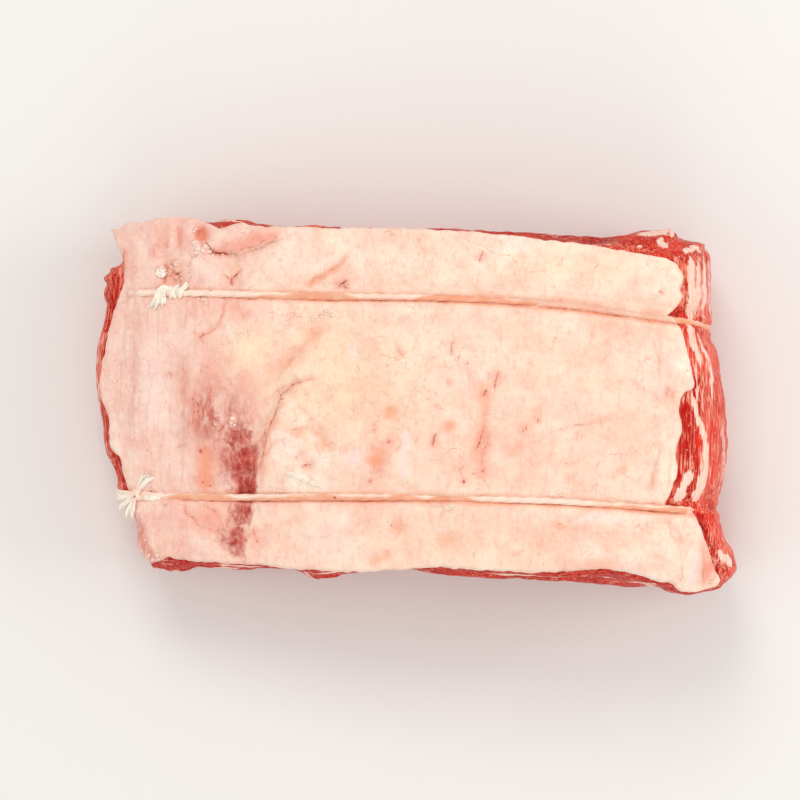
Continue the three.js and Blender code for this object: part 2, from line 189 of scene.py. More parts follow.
def raggedCurve(points, rough, seed):
    # a border curve with fine uneven notches: rough is (size, depth) and fades out at the corners
    curve = evenly(smoothCurve(points), np.linspace(0, 1, 900))
    along = np.r_[0, np.cumsum(np.linalg.norm(np.diff(curve, axis=0), axis=1))]
    tangent = np.gradient(curve, axis=0)
    normal = np.stack([tangent[:, 1], -tangent[:, 0]], 1) / np.linalg.norm(tangent, axis=1)[:, None]
    fade = np.sin(np.pi * np.linspace(0, 1, len(curve))) ** 0.15
    jag = sum(depth * softNoise(along, along * 0 + 3, size, seed + n) for n, (size, depth) in enumerate(rough))
    return curve + normal * (jag * fade)[:, None]


def planPatch(outline, rough=((6, 0.0),), seed=1):
    side = {name: raggedCurve(points, rough, seed + 7 * n) for n, (name, points) in enumerate(outline.items())}

    def patch(u, v):
        u, v = np.broadcast_arrays(np.asarray(u, float), np.asarray(v, float))
        left, right = evenly(side["left"], v), evenly(side["right"], v)
        bottom, top = evenly(side["bottom"], u), evenly(side["top"], u)
        uu, vv = u[..., None], v[..., None]
        lowCorners = side["left"][0] * (1 - uu) + side["right"][0] * uu
        highCorners = side["left"][-1] * (1 - uu) + side["right"][-1] * uu
        across = left * (1 - uu) + right * uu
        along = bottom * (1 - vv) + top * vv
        return across + along - (lowCorners * (1 - vv) + highCorners * vv)

    return patch


def crowded(t, amount):
    return t - amount * np.sin(2 * np.pi * t) / (2 * np.pi)


def borderWalk(cols, rows):
    # grid places round the border, counter-clockwise from the near left corner
    i = np.r_[np.arange(cols), np.full(rows, cols), np.arange(cols, 0, -1), np.zeros(rows, int)]
    j = np.r_[np.zeros(cols, int), np.arange(rows), np.full(cols, rows), np.arange(rows, 0, -1)]
    return i, j


def gridQuads(cols, rows, start, up):
    j, i = np.mgrid[0:rows, 0:cols]
    a = (start + j * (cols + 1) + i).ravel()
    quads = np.stack([a, a + 1, a + cols + 2, a + cols + 1], 1)
    return quads if up else quads[:, ::-1]


def ringQuads(low, high):
    # low and high are vertex numbers of two rings, high above low, both counter-clockwise
    return np.stack([low, np.roll(low, -1), np.roll(high, -1), high], 1)


def capFaces(ring, cols, rows, step, start, up):
    # closes a fine ring onto a coarser grid whose border has one vertex for each step of the ring
    ci, cj = borderWalk(cols // step, rows // step)
    coarse = start + cj * (cols // step + 1) + ci
    tris = []
    for k in range(len(coarse)):
        nextCoarse = coarse[(k + 1) % len(coarse)]
        for s in range(step):
            tris.append((ring[k * step + s], ring[(k * step + s + 1) % len(ring)], coarse[k]))
        tris.append((ring[((k + 1) * step) % len(ring)], nextCoarse, coarse[k]))
    tris = np.array(tris)
    return tris if up else tris[:, ::-1], gridQuads(cols // step, rows // step, start, up)


def joinParts(parts):
    points, faces, start = [], [], 0
    for part, partFaces in parts:
        points.append(part)
        faces += [tuple(start + k for k in face) for face in partFaces]
        start += len(part)
    return np.vstack(points), faces


def bumpyLump(rng, x, y, z, size, long, turn, flat, bumps, counts):
    # a closed uneven ball, drawn out and turned in plan
    around, rise = np.linspace(0, 2 * np.pi, counts[0], endpoint=False), np.linspace(-1.35, 1.35, counts[1])
    lat, lon = np.meshgrid(rise, around, indexing="ij")
    reach = size * (1 + rng.uniform(-bumps, bumps, lat.shape))
    ahead, aside = long * np.cos(lat) * np.cos(lon) * reach, np.cos(lat) * np.sin(lon) * reach
    px = x + ahead * math.cos(turn) - aside * math.sin(turn)
    py = y + ahead * math.sin(turn) + aside * math.cos(turn)
    pz = z + flat * np.sin(lat) * reach
    ring, last = len(around), (len(rise) - 1) * len(around)
    k = np.arange(ring)
    quads = [tuple(q) for n in range(len(rise) - 1) for q in ringQuads(n * ring + k, (n + 1) * ring + k).tolist()]
    points = np.vstack([np.stack([px, py, pz], -1).reshape(-1, 3),
                        [px[0].mean(), py[0].mean(), pz[0].min()], [px[-1].mean(), py[-1].mean(), pz[-1].max()]])
    low = [(len(points) - 2, (n + 1) % ring, n) for n in range(ring)]
    high = [(len(points) - 1, last + n, last + (n + 1) % ring) for n in range(ring)]
    return points, quads + low + high


def makePiece(name, points, faceSets, material, tints=None):
    # points in mm in the drawing; tints maps an attribute name to three masks
    mesh = bpy.data.meshes.new(name)
    shifted = (points + np.array([*roast["frameShift"], 0])) * mm
    faces = [tuple(face) for faceSet in faceSets for face in faceSet.tolist()]
    mesh.from_pydata(shifted.tolist(), [], faces)
    mesh.validate()
    for tint, masks in (tints or {}).items():
        colours = np.ones((len(points), 4), np.float32)
        for channel, mask in enumerate(masks):
            colours[:, channel] = mask
        layer = mesh.attributes.new(tint, "FLOAT_COLOR", "POINT")
        layer.data.foreach_set("color", colours.ravel())
    mesh.polygons.foreach_set("use_smooth", [True] * len(mesh.polygons))
    mesh.materials.append(material)
    piece = bpy.data.objects.new(name, mesh)
    bpy.context.scene.collection.objects.link(piece)
    print(name, len(points), "points", sum(len(face) - 2 for face in faces), "triangles")
    return piece


# How each kind of mark is laid on: how far its edge runs out, how broken it is, and the wash round it.
brushes = {
    "shade": (0.75, 0.5, ("blush", 2.4, 0.4)), "blood": (0.9, 0.45, ("blush", 3.2, 0.55)),
    "amber": (3.4, 0.35, ("blush", 4.5, 0.25)), "blush": (4.2, 0.25, None), "milk": (0.8, 0.35, None),
    "seam": (1.7, 0.3, None), "deep": (1.6, 0.2, None), "bright": (1.3, 0.2, None),
    "salmon": (1.6, 0.3, None), "pale": (1.6, 0.2, None), "mauve": (2, 0.3, None), "purple": (2, 0.3, None),
}


spotGlow, spotGlowUpTo = 2.6, 2.1  # reach of the wash round a small blood spot, and up to which size


def markSurface(marks, spots, x, y, kinds, ragged, seed, thinCracks=False):
    # masks for each kind and the summed rise; a mark is kind, width, strength, rise and line
    wx = x + ragged * softNoise(x, y, 5.5, seed) + 0.4 * ragged * softNoise(x, y, 1.6, seed + 1)
    wy = y + ragged * softNoise(x, y, 6.1, seed + 2) + 0.4 * ragged * softNoise(x, y, 1.7, seed + 3)
    if ragged > 0.8:
        wx = wx + 1.5 * ragged * softNoise(x, y, 15, seed + 5)
        wy = wy + 1.1 * ragged * softNoise(x, y, 13, seed + 6)
    patchy = 0.5 + 0.5 * softNoise(x, y, 1.9, seed + 4)
    swell = 0.72 + 0.56 * (0.5 + 0.5 * softNoise(x, y, 6.5, seed + 7))
    masks = {kind: np.zeros(np.shape(x)) for kind in kinds}
    rise = np.zeros(np.shape(x))
    for kind, width, strength, lift, line in marks:
        soft, breaks, wash = brushes[kind]
        away, share, _ = nearLine(wx, wy, line)
        taper = smoothShare(0.15 + 0.85 * np.minimum(share, 1 - share) / 0.22)
        thin = thinCracks and kind in ("shade", "blood") and width <= crackWidest
        if kind in ("amber", "blush"):
            core = taper * np.exp(-((away / (0.4 * width + 0.5 * soft)) ** 2)) * (1 - breaks * patchy)
        else:
            core = np.clip(1 - (away - width * swell * (taper - 0.5)) / soft, 0, 1) * (1 - breaks * patchy)
        if not thin:
            masks[kind] = np.maximum(masks[kind], strength * core)
        rise += lift * taper * np.exp(-((away / (width / 2 + 0.6)) ** 2))
        if wash and wash[0] in masks:
            glow = wash[2] * strength * taper * np.exp(-((away / (width / 2 + wash[1])) ** 2))
            masks[wash[0]] = np.maximum(masks[wash[0]], glow * (0.7 + 0.5 * patchy))
    for kind, (cx, cy), (rx, ry), strength, lift in spots:
        near = np.exp(-(((wx - cx) / rx) ** 2) - ((wy - cy) / ry) ** 2)
        masks[kind] = np.maximum(masks[kind], strength * near * (1 - brushes[kind][1] * patchy * 0.6))
        if kind == "blood" and max(rx, ry) < spotGlowUpTo:
            reach = spotGlow * max(rx, ry)
            glow = np.exp(-(((wx - cx) ** 2 + (wy - cy) ** 2) / reach**2))
            masks["blush"] = np.maximum(masks["blush"], 0.8 * strength * glow)
        rise += lift * near
    return masks, rise


def crackAndShadeField(marks, x, y):
    # signed distance to the nearest of the cracks and the painted shade lines at the ties' feet, how strong it is there
    # and how red: the material draws the line where the distance is zero, finer than the mesh
    wx = x + 0.6 * softNoise(x, y, 3.6, 24) + 0.3 * softNoise(x, y, 1.5, 25)
    wy = y + 0.6 * softNoise(x, y, 3.9, 26) + 0.3 * softNoise(x, y, 1.6, 27)
    nearest = np.full(np.shape(x), 99.0)
    side, strength, red = np.ones(np.shape(x)), np.zeros(np.shape(x)), np.zeros(np.shape(x))

    def lay(away, onSide, here, redness):
        nonlocal nearest, side, strength, red
        closer = away < nearest
        nearest = np.where(closer, away, nearest)
        side = np.where(closer, onSide, side)
        strength = np.where(closer, here * np.exp(-((away / 1.9) ** 2)), strength)
        red = np.where(closer, redness, red)

    for kind, width, amount, _, line in marks:
        if kind in ("shade", "blood") and width <= crackWidest:
            away, share, onSide = nearLine(wx, wy, line)
            lay(away, onSide, amount * smoothShare(0.08 + np.minimum(share, 1 - share) / 0.25),
                0.75 if kind == "blood" else 0.1)
    # painted contact shade: a thin dark line along the foot of each tie
    for n, (name, tie) in enumerate(ties.items()):
        off = y - alongTable(tie["run"], x)
        uneven = 0.6 + 0.4 * softNoise(x, y * 0, 7, 95 + n)
        start = smoothShare((x + 98 + 14 * n) / 16)
        for foot, first, amount in tieShadeLines[name]:
            shifted = off - foot + 0.25 * softNoise(x, y * 0, 5, 98 + n)
            lay(np.abs(shifted), np.sign(shifted), amount * uneven * start * smoothShare((x - first) / 20), 0.45)
    return 0.5 + side * np.minimum(nearest, 3) / 6, strength, red


def lapRise(laps, x, y):
    # overlapping skins: each line is a step, raised on its left
    rise = np.zeros(np.shape(x))
    wx, wy = x + 0.8 * softNoise(x, y, 4, 5), y + 0.8 * softNoise(x, y, 4.4, 6)
    for height, reach, line in laps:
        away, share, side = nearLine(wx, wy, line)
        taper = smoothShare(np.minimum(share, 1 - share) / 0.3)
        rise += taper * np.where(side > 0, height * np.exp(-((away / reach) ** 2)),
                                 -0.4 * height * np.exp(-((away / 1.3) ** 2)))
    return rise


def linear(red, green, blue):
    # a colour as read on screen, 0 to 255, to the renderer's own scale
    def channel(value):
        value /= 255
        return value / 12.92 if value <= 0.04045 else ((value + 0.055) / 1.055) ** 2.4
    return (channel(red), channel(green), channel(blue), 1.0)


def put(tree, kind, inputs=None, **settings):
    node = tree.nodes.new("ShaderNode" + kind)
    for key, value in settings.items():
        setattr(node, key, value)
    for key, value in (inputs or {}).items():
        if isinstance(value, bpy.types.NodeSocket):
            tree.links.new(value, node.inputs[key])
        else:
            node.inputs[key].default_value = value
    return node


def calc(tree, operation, a, b=0.0, clamp=False):
    return put(tree, "Math", {0: a, 1: b}, operation=operation, use_clamp=clamp).outputs[0]


def spread(tree, value, low, high, toLow=0.0, toHigh=1.0):
    inputs = {"Value": value, "From Min": low, "From Max": high, "To Min": toLow, "To Max": toHigh}
    return put(tree, "MapRange", inputs, interpolation_type="SMOOTHSTEP").outputs[0]


def blend(tree, factor, a, b, mode="MIX"):
    return put(tree, "Mix", {0: factor, 6: a, 7: b}, data_type="RGBA", blend_type=mode).outputs[2]


def newGroup(name, inputs, outputs):
    group = bpy.data.node_groups.new(name, "ShaderNodeTree")
    for label, kind, value in inputs:
        socket = group.interface.new_socket(label, in_out="INPUT", socket_type="NodeSocket" + kind)
        if value is not None:
            socket.default_value = value
    for label, kind in outputs:
        group.interface.new_socket(label, in_out="OUTPUT", socket_type="NodeSocket" + kind)
    return group, group.nodes.new("NodeGroupInput").outputs, group.nodes.new("NodeGroupOutput").inputs


def useGroup(tree, group, **inputs):
    node = put(tree, "Group", node_tree=group)
    for key, value in inputs.items():
        if isinstance(value, bpy.types.NodeSocket):
            tree.links.new(value, node.inputs[key])
        else:
            node.inputs[key].default_value = value
    return node.outputs[0]


def makeMottle():
    group, given, result = newGroup(
        "softMottle",
        [("Vector", "Vector", None), ("Scale", "Float", 40.0), ("Detail", "Float", 3.0),
         ("Warp", "Float", 0.3), ("Low", "Float", 0.4), ("High", "Float", 0.6)],
        [("Mask", "Float")])
    noise = put(group, "TexNoise", {"Vector": given["Vector"], "Scale": given["Scale"],
                                    "Detail": given["Detail"], "Distortion": given["Warp"]})
    group.links.new(spread(group, noise.outputs[0], given["Low"], given["High"]), result["Mask"])
    return group


def makeFibres():
    group, given, result = newGroup(
        "meatFibres",
        [("Vector", "Vector", None), ("Across", "Float", 900.0), ("Along", "Float", 90.0),
         ("Warp", "Float", 0.4), ("Low", "Float", 0.4), ("High", "Float", 0.6)],
        [("Mask", "Float")])
    scale = put(group, "CombineXYZ", {0: given["Across"], 1: given["Along"], 2: given["Across"]}).outputs[0]
    stretched = put(group, "VectorMath", {0: given["Vector"], 1: scale}, operation="MULTIPLY").outputs[0]
    noise = put(group, "TexNoise", {"Vector": stretched, "Scale": 1.0, "Detail": 3.0,
                                    "Roughness": 0.6, "Distortion": given["Warp"]})
    group.links.new(spread(group, noise.outputs[0], given["Low"], given["High"]), result["Mask"])
    return group


def makeHairs():
    # fine cracks: the borders of warped cells, thinned out in patches
    group, given, result = newGroup(
        "hairCracks",
        [("Vector", "Vector", None), ("Scale", "Float", 60.0), ("Width", "Float", 0.03),
         ("Warp", "Float", 0.01), ("Amount", "Float", 0.5)],
        [("Mask", "Float")])
    push = put(group, "TexNoise", {"Vector": given["Vector"], "Scale": 120.0, "Detail": 4.0}).outputs["Color"]
    centred = put(group, "VectorMath", {0: push, 1: (0.5, 0.5, 0.5)}, operation="SUBTRACT").outputs[0]
    shift = put(group, "VectorMath", {0: centred, "Scale": given["Warp"]}, operation="SCALE").outputs[0]
    warped = put(group, "VectorMath", {0: given["Vector"], 1: shift}, operation="ADD").outputs[0]
    cells = put(group, "TexVoronoi", {"Vector": warped, "Scale": given["Scale"]}, feature="DISTANCE_TO_EDGE").outputs[0]
    thin = calc(group, "SUBTRACT", 1.0, spread(group, cells, 0.0, given["Width"]))
    patches = put(group, "TexNoise", {"Vector": given["Vector"], "Scale": calc(group, "MULTIPLY", given["Scale"], 0.9),
                                      "Detail": 3.0})
    edge = calc(group, "SUBTRACT", 1.0, given["Amount"])
    present = spread(group, patches.outputs[0], calc(group, "SUBTRACT", edge, 0.06), calc(group, "ADD", edge, 0.16))
    group.links.new(calc(group, "MULTIPLY", thin, present), result["Mask"])
    return group


def makeFilm():
    group, given, result = newGroup(
        "moistFilm",
        [("Vector", "Vector", None), ("Scale", "Float", 90.0), ("Wet", "Float", 0.25), ("Dry", "Float", 0.55)],
        [("Roughness", "Float")])
    noise = put(group, "TexNoise", {"Vector": given["Vector"], "Scale": given["Scale"],
                                    "Detail": 4.0, "Roughness": 0.6})
    group.links.new(spread(group, noise.outputs[0], 0.36, 0.66, given["Wet"], given["Dry"]), result["Roughness"])
    return group


def makeGrain():
    group, given, result = newGroup(
        "surfaceGrain",
        [("Vector", "Vector", None), ("Fine", "Float", 1400.0), ("Coarse", "Float", 260.0), ("Share", "Float", 0.6)],
        [("Height", "Float")])
    fine = put(group, "TexNoise", {"Vector": given["Vector"], "Scale": given["Fine"], "Detail": 3.0})
    coarse = put(group, "TexNoise", {"Vector": given["Vector"], "Scale": given["Coarse"],
                                     "Detail": 4.0, "Distortion": 0.8})
    height = put(group, "Mix", {0: given["Share"], 2: fine.outputs[0], 3: coarse.outputs[0]}).outputs[0]
    group.links.new(height, result["Height"])
    return group


mottleGroup = makeMottle()
fibreGroup = makeFibres()
hairGroup = makeHairs()
filmGroup = makeFilm()
grainGroup = makeGrain()
print("shader groups built")


def startMaterial(name):
    material = bpy.data.materials.new(name)
    material.use_nodes = True
    tree = material.node_tree
    tree.nodes.clear()
    shader = put(tree, "BsdfPrincipled")
    output = put(tree, "OutputMaterial", {"Surface": shader.outputs[0]})
    output.location = (400, 0)
    place = put(tree, "TexCoord").outputs["Object"]
    return material, tree, shader, place


def readTints(tree, attribute):
    colour = put(tree, "Attribute", attribute_name=attribute, attribute_type="GEOMETRY").outputs["Color"]
    return put(tree, "SeparateColor", {0: colour}).outputs


fatCap = {
    "columns": 360, "rows": 216, "crowding": 0.2,
    "middle": 10, "tail": 7.5, "rim": 6, "chineRim": 2.6, "rimReach": 18, "edgeRadius": 1.6,
    "tailBlend": (-110, -20),
    "span": (250, 150),
    "edgeRough": ((7, 0.45), (2.6, 0.35), (1.4, 0.22)),  # size and depth of the notches along its edge
    "lumps": ((34, 0.55), (13, 0.5), (5.2, 0.27), (2.2, 0.1)),  # size and height of the swells
    "cream": (255, 229, 206), "peach": (253, 212, 190), "butter": (255, 229, 192), "rosy": (247, 204, 190),
    "tints": {
        "blush": (244, 160, 136), "amber": (247, 172, 132), "blood": (190, 48, 34),
        "shade": (148, 70, 50), "milk": (255, 236, 216), "mauve": (212, 122, 104),
        "purple": (204, 82, 66), "pale": (255, 230, 220), "hair": (222, 142, 112),
    },
    "muscle": (158, 34, 24), "muscleFleck": (244, 172, 154), "cloud": (255, 243, 228),
    "crackFaint": (214, 130, 94), "sinew": (222, 172, 162),
}
fatOutline = {
    "left": [
        (-119.9, -70.2), (-122.8, -67.1), (-125.3, -63.1), (-125.6, -53.3), (-127.5, -46.4), (-130, -39),
        (-131.2, -32.3), (-132.4, -27), (-133.5, -23), (-137.3, -19), (-138.6, -11.4), (-138.6, -6.8),
        (-139.8, -2), (-142, 3.3), (-142.8, 8.8), (-142.7, 11.7), (-141.9, 18.2), (-140.6, 22.9), (-139.7, 29.2),
        (-138.2, 36.7), (-135.3, 45.2), (-133.6, 50.6), (-132.2, 54.6), (-132.6, 61.3), (-133.6, 69.3),
        (-135.6, 72.4), (-136.8, 76), (-138.6, 79.4),
    ],
    "right": [
        (131, -80), (133, -77.5), (130.8, -72.7), (127.3, -64.3), (125.1, -60), (121.4, -51.5), (118.4, -46.5),
        (106.8, -43), (109, -38.2), (111.6, -29.9), (111.6, -18.1), (113.8, -11.1), (112.9, -1.1), (114.6, 5.5),
        (118.8, 7.7), (118.4, 14.2), (116, 23.4), (113.7, 32.1), (111.2, 37.4), (107.2, 39.1), (110.3, 41.7),
        (112.9, 44.4), (114.2, 47.9), (113.2, 50.5), (114.6, 54), (114.6, 57), (113.3, 59.6), (110.7, 62.3),
        (107, 64),
    ],
    "bottom": [
        (-119.9, -70.2), (-114.8, -68.6), (-111.7, -67.3), (-108, -68.2), (-95.8, -69.2), (-80.1, -69.7),
        (-67.6, -70.4), (-52, -71.8), (-36.6, -72.2), (-22.1, -72.5), (-11.1, -71.6), (12, -70.3), (35.8, -71.5),
        (60.9, -71.7), (81.7, -70.9), (95.7, -73.6), (102.8, -76.1), (109.8, -77.2), (113.9, -80.6),
        (120.7, -81.7), (125.2, -81.1), (131, -80),
    ],
    "top": [
        (-138.6, 79.4), (-135.4, 78.9), (-133.3, 80.6), (-129.1, 81.5), (-113, 83.4), (-105.3, 83.2),
        (-97.2, 81.3), (-91.8, 79.5), (-87.3, 78.1), (-81.4, 80.2), (-65.8, 78.4), (-8.5, 77.1), (21.9, 75.1),
        (52.2, 71.9), (73.9, 69.2), (85.2, 67.1), (100.6, 65), (107, 64),
    ],
}
fatMarks = [
    ("shade", 0.7, 1, -0.88, [(-131.5, 70), (-132, 65), (-131.5, 59.5)]),  # slit beside the flap
    ("blush", 0.8, 0.5, -0.6, [(-115.4, 80.5), (-115, 74.5), (-116, 68.5)]),
    ("blush", 0.8, 0.6, -0.4, [(-113.4, 81), (-112.8, 75), (-112.4, 68)]),
    ("blush", 0.8, 0.5, -0.4, [(-106.6, 80), (-106.4, 74), (-105.6, 68)]),
    ("mauve", 0.8, 0.25, -0.3, [(-117.6, 80), (-117.2, 74), (-118, 66)]),
    ("shade", 0.3, 0.3, -0.5, [(-112.8, 80.5), (-112.2, 75), (-112.8, 69)]),
    ("shade", 0.3, 0.3, -0.6, [(-107, 80.5), (-106.8, 74.5), (-106, 68.5)]),
    ("blood", 2.2, 0.3, -1.2, [(-97.4, 78), (-95.6, 76), (-94.4, 74)]),  # torn notch
    ("shade", 0.6, 0.9, -0.55, [(-96.4, 75), (-94, 71), (-91, 67.8), (-85, 67.2), (-78.5, 68.2)]),
    ("shade", 0.4, 0.4, -0.3, [(-85, 67.2), (-72.5, 70), (-65, 73.5), (-58.5, 75.5)]),
    ("blush", 3.0, 0.9, 0.8, [(-92.5, 73), (-86.5, 70.5), (-79, 71.5), (-69.5, 74), (-58.5, 77)]),
    ("shade", 0.5, 0.8, -0.5, [(-113.2, 63.4), (-112, 61.4), (-110.8, 59.6)]),  # crater
    ("shade", 0.6, 1, -0.8, [(-109.2, 59), (-107.4, 58.4), (-106, 56.8), (-105.9, 53.4)]),
    ("shade", 0.4, 0.8, -0.4, [(-106.6, 62.4), (-105.7, 60), (-106.4, 58)]),
    ("shade", 0.4, 0.7, -0.4, [(-113, 58), (-112.6, 56), (-113.2, 53.6)]),
    ("amber", 1.0, 0.8, -0.8, [(-52.5, 50), (-50.5, 51.5), (-45.6, 55.3), (-37, 59.6), (-34.3, 62.7), (-30.3, 67.9)]),
    ("shade", 0.4, 0.5, 0, [(-52.5, 50), (-50.5, 51.5), (-45.6, 55.3), (-37, 59.6), (-34.3, 62.7), (-30.3, 67.9)]),
    ("shade", 0.5, 0.9, -0.6, [(-77.5, 61.4), (-80.5, 58.2), (-83.2, 55.2), (-82.8, 51.5)]),
    ("shade", 0.4, 0.6, -0.4, [(-88.5, 57.8), (-85.4, 56.8), (-83.6, 54)]),
    ("shade", 0.5, 0.7, -0.4, [(-84.4, 47.4), (-86.5, 43.4), (-86.8, 38)]),
    ("shade", 0.35, 0.4, -0.2, [(-84.6, 40), (-80, 38.5), (-75, 38)]),
    ("blood", 1.0, 0.7, -0.6, [(-39, 55), (-35.5, 53), (-30.5, 51)]),
    ("shade", 0.8, 1, -0.9, [(-36.8, 51.2), (-34, 53), (-31.4, 55.2)]),
    ("shade", 0.35, 0.5, -0.3, [(-104, -43), (-103, -48), (-99, -51), (-97.5, -54)]),
    ("shade", 0.35, 0.4, -0.3, [(-98, -53), (-92, -55), (-86, -58)]),
    ("shade", 0.3, 0.4, -0.3, [(-96, -44), (-91, -46), (-88, -51)]),
    ("blood", 1.0, 0.8, -0.3, [(-73, -53), (-72.4, -58), (-71, -61)]),
    ("shade", 0.35, 0.8, -0.22, [(27.5, 67.5), (27, 65), (26, 62.5)]),
    ("shade", 0.35, 0.7, -0.22, [(-100, 31.5), (-96.5, 30.5), (-92.5, 33), (-90, 34), (-88, 37), (-85.5, 45.5)]),
    ("blush", 2.5, 0.8, -0.2, [(-85.5, 45), (-81, 42.5), (-73, 39)]),
    ("amber", 4.6, 0.6, -0.4, [(-38, 38), (-46, 30), (-54, 22), (-61, 16), (-68, 9), (-72.5, 3)]),
    ("shade", 0.5, 0.78, -0.9, [(-40, 14), (-44.5, 12.8), (-50.5, 11.2), (-55, 9.6), (-57.5, 7.2), (-60.6, 4.6),
                                (-62, -0.5), (-64.3, -5.5), (-66.4, -12), (-68.4, -18.5), (-69.6, -25), (-70, -31),
                                (-69.6, -39.5)]),  # long split
    ("blood", 1.6, 0.8, -0.5, [(-60, 3.5), (-60.5, 2)]),
    ("shade", 0.4, 0.6, -0.4, [(-57.5, 9.5), (-62, 6.5), (-66, 2.5), (-68, -3)]),
    ("blood", 0.9, 0.7, -0.5, [(-67, -10), (-68.8, -14), (-69.2, -20)]),
    ("amber", 1.6, 0.7, -0.2, [(-62, -2), (-65, -10), (-67.4, -20), (-68, -32)]),
    ("shade", 0.3, 0.5, -0.2, [(-69.5, -24), (-66.6, -20), (-63.2, -16.2), (-58, -14.8)]),
    ("shade", 0.3, 0.45, -0.2, [(-58, -11), (-49.5, -9.5), (-43.8, -13), (-39, -16)]),
    ("shade", 0.3, 0.35, -0.1, [(-56, 1), (-50, -2), (-45, -8)]),
    ("blush", 1.6, 0.6, -0.1, [(-54.5, -20.5), (-49.2, -24), (-45.7, -27)]),
    ("shade", 0.5, 0.6, -0.22, [(-99, 8), (-100, 2.5), (-99.5, -4), (-100.5, -11.5)]),
    ("shade", 0.5, 0.6, -0.22, [(-93.5, 9), (-92, 6), (-92, 2)]),
    ("shade", 0.6, 0.8, -0.33, [(-98.5, 2), (-97.5, -2), (-97, -6.5)]),
    ("shade", 0.6, 0.8, -0.44, [(-85.5, -7.5), (-87, -10), (-89, -12)]),
    ("pale", 3.4, 0.9, 0.7, [(-92, -7.5), (-87, -6), (-83, -8), (-81.5, -7.5)]),
    ("blood", 0.9, 0.5, -0.2, [(-87.5, 8), (-85.5, 7)]),
    ("blood", 0.9, 0.6, -0.2, [(-110, 14.5), (-111, 11.5)]),
    ("shade", 0.35, 0.5, -0.17, [(-113, 14.5), (-110, 14), (-108, 15.5)]),
    ("blush", 1.6, 0.6, -0.3, [(-103.5, 17.5), (-105, 11.5), (-105.5, 4.5), (-104.5, -2)]),
    ("amber", 1.4, 0.9, -0.5, [(-47, -11.5), (-43, -13), (-40.5, -17), (-36.5, -20.5)]),
    ("amber", 1.6, 0.8, -0.3, [(-53, -9.5), (-53, -11.5), (-53.5, -14)]),
    ("amber", 5.0, 0.9, -0.2, [(-17, -17.5), (-19.5, -22.5), (-22.5, -26.5)]),
    ("amber", 2.4, 0.8, -0.2, [(-13.5, 0.5), (-13, -3), (-13, -7)]),
    ("blood", 0.8, 0.6, -0.3, [(-11, 26), (-8.5, 23.5), (-6.5, 20.5)]),
    ("blood", 1.1, 0.9, -0.4, [(-52, -27.5), (-49.5, -26.5), (-47, -26)]),
    ("milk", 2.6, 1.5, 0.9, [(-59.4, -29.6), (-56, -30.6), (-50.5, -32.6), (-44.5, -35)]),  # pale shred by the tie
    ("milk", 1.6, 0.9, 0.5, [(-57.6, -33.6), (-53, -35), (-49.4, -36.6)]),
    ("pale", 3.2, 1, 0.1, [(-6, -8.5), (-5.5, -15), (-6, -24.5), (-7, -34)]),
    ("pale", 2.6, 1, 0.1, [(-29.5, 28.5), (-29.5, 22)]),
    ("pale", 7.0, 1, 0.1, [(-30.5, -19.5), (-27.5, -28)]),
    ("shade", 0.35, 0.8, -0.22, [(14.5, 29), (13.5, 23.5), (14, 21)]),
    ("shade", 0.35, 0.5, -0.17, [(35, 30), (35, 27.5)]),
    ("blood", 0.8, 0.7, -0.4, [(35, 15.5), (33, 11), (32.5, 6.5)]),
    ("shade", 0.45, 1, -0.33, [(28.5, 7), (28, 5), (27.5, 3.5)]),
    ("amber", 2.4, 0.7, -0.4, [(26.5, 12), (28, 4.5), (28, -1), (27.5, -9.5), (23.5, -21.5), (21.5, -26)]),
    ("blood", 0.3, 0.7, -0.3, [(28, -9.5), (26, -15), (24, -21)]),
    ("shade", 0.4, 0.8, -0.28, [(7, -11), (6.5, -14.5), (5.5, -19)]),
    ("blood", 0.9, 0.8, -0.3, [(44.5, -9), (44.5, -12)]),
    ("amber", 3.0, 0.5, -0.2, [(50.5, 0.5), (47.5, -6), (44.5, -11.5)]),
    ("blush", 4.0, 0.5, -0.2, [(33, -20), (40, -19), (47, -16.5)]),
    ("shade", 0.3, 0.3, -0.17, [(52.5, -12.5), (59, -10.5), (66, -9), (78.5, -6.5), (87.5, -3)]),
    ("shade", 0.3, 0.25, -0.1, [(54, -16), (64, -15), (74, -12)]),
    ("shade", 0.3, 0.35, -0.2, [(31, -8), (29.5, -16), (27, -22), (26.4, -30)]),
    ("blush", 3.4, 0.6, -0.2, [(30, -4), (29, -12), (27.5, -22), (28, -30)]),
    ("amber", 3.4, 0.8, -0.3, [(-13.5, -51.5), (-10.5, -52.5), (-7, -54.5)]),
    ("shade", 0.3, 0.5, -0.17, [(2.5, -45.5), (4.5, -48.5), (5.5, -53)]),
    ("shade", 0.3, 0.5, -0.17, [(-1, -57), (0.5, -60), (1, -63.5)]),
    ("amber", 4.0, 0.5, -0.1, [(6.5, -60.5), (11.5, -59), (16.5, -57)]),
    ("amber", 0.8, 0.7, -0.3, [(-12, -62.5), (-16.5, -66.5), (-22, -69.5)]),
    ("milk", 1.6, 0.8, 0.5, [(12, -46), (13, -44.5), (14.5, -43)]),
    ("amber", 4.5, 0.8, -0.2, [(61, -50.5), (59.5, -54)]),
    ("blush", 1.2, 0.6, -0.1, [(42.5, -62), (42, -65.5)]),
    ("blush", 1.0, 0.7, -0.4, [(107, -48), (110.5, -55), (114, -61)]),
    ("pale", 1.6, 1, 0.1, [(66.5, -50), (77, -47.5), (88.5, -51)]),
    ("blush", 2.0, 0.5, 0.0, [(61, -69.5), (78, -68.5), (95.5, -70), (109.5, -74.5)]),
    ("shade", 0.3, 0.5, -0.17, [(103, 33), (104, 24), (105, 17)]),
    ("shade", 0.3, 0.6, -0.17, [(107, 9.5), (107, 2.5)]),
    ("shade", 0.3, 0.5, -0.17, [(109.5, 6.5), (109.5, 0)]),
    ("amber", 3.2, 0.6, -0.2, [(63.5, -33), (66, -30.5)]),
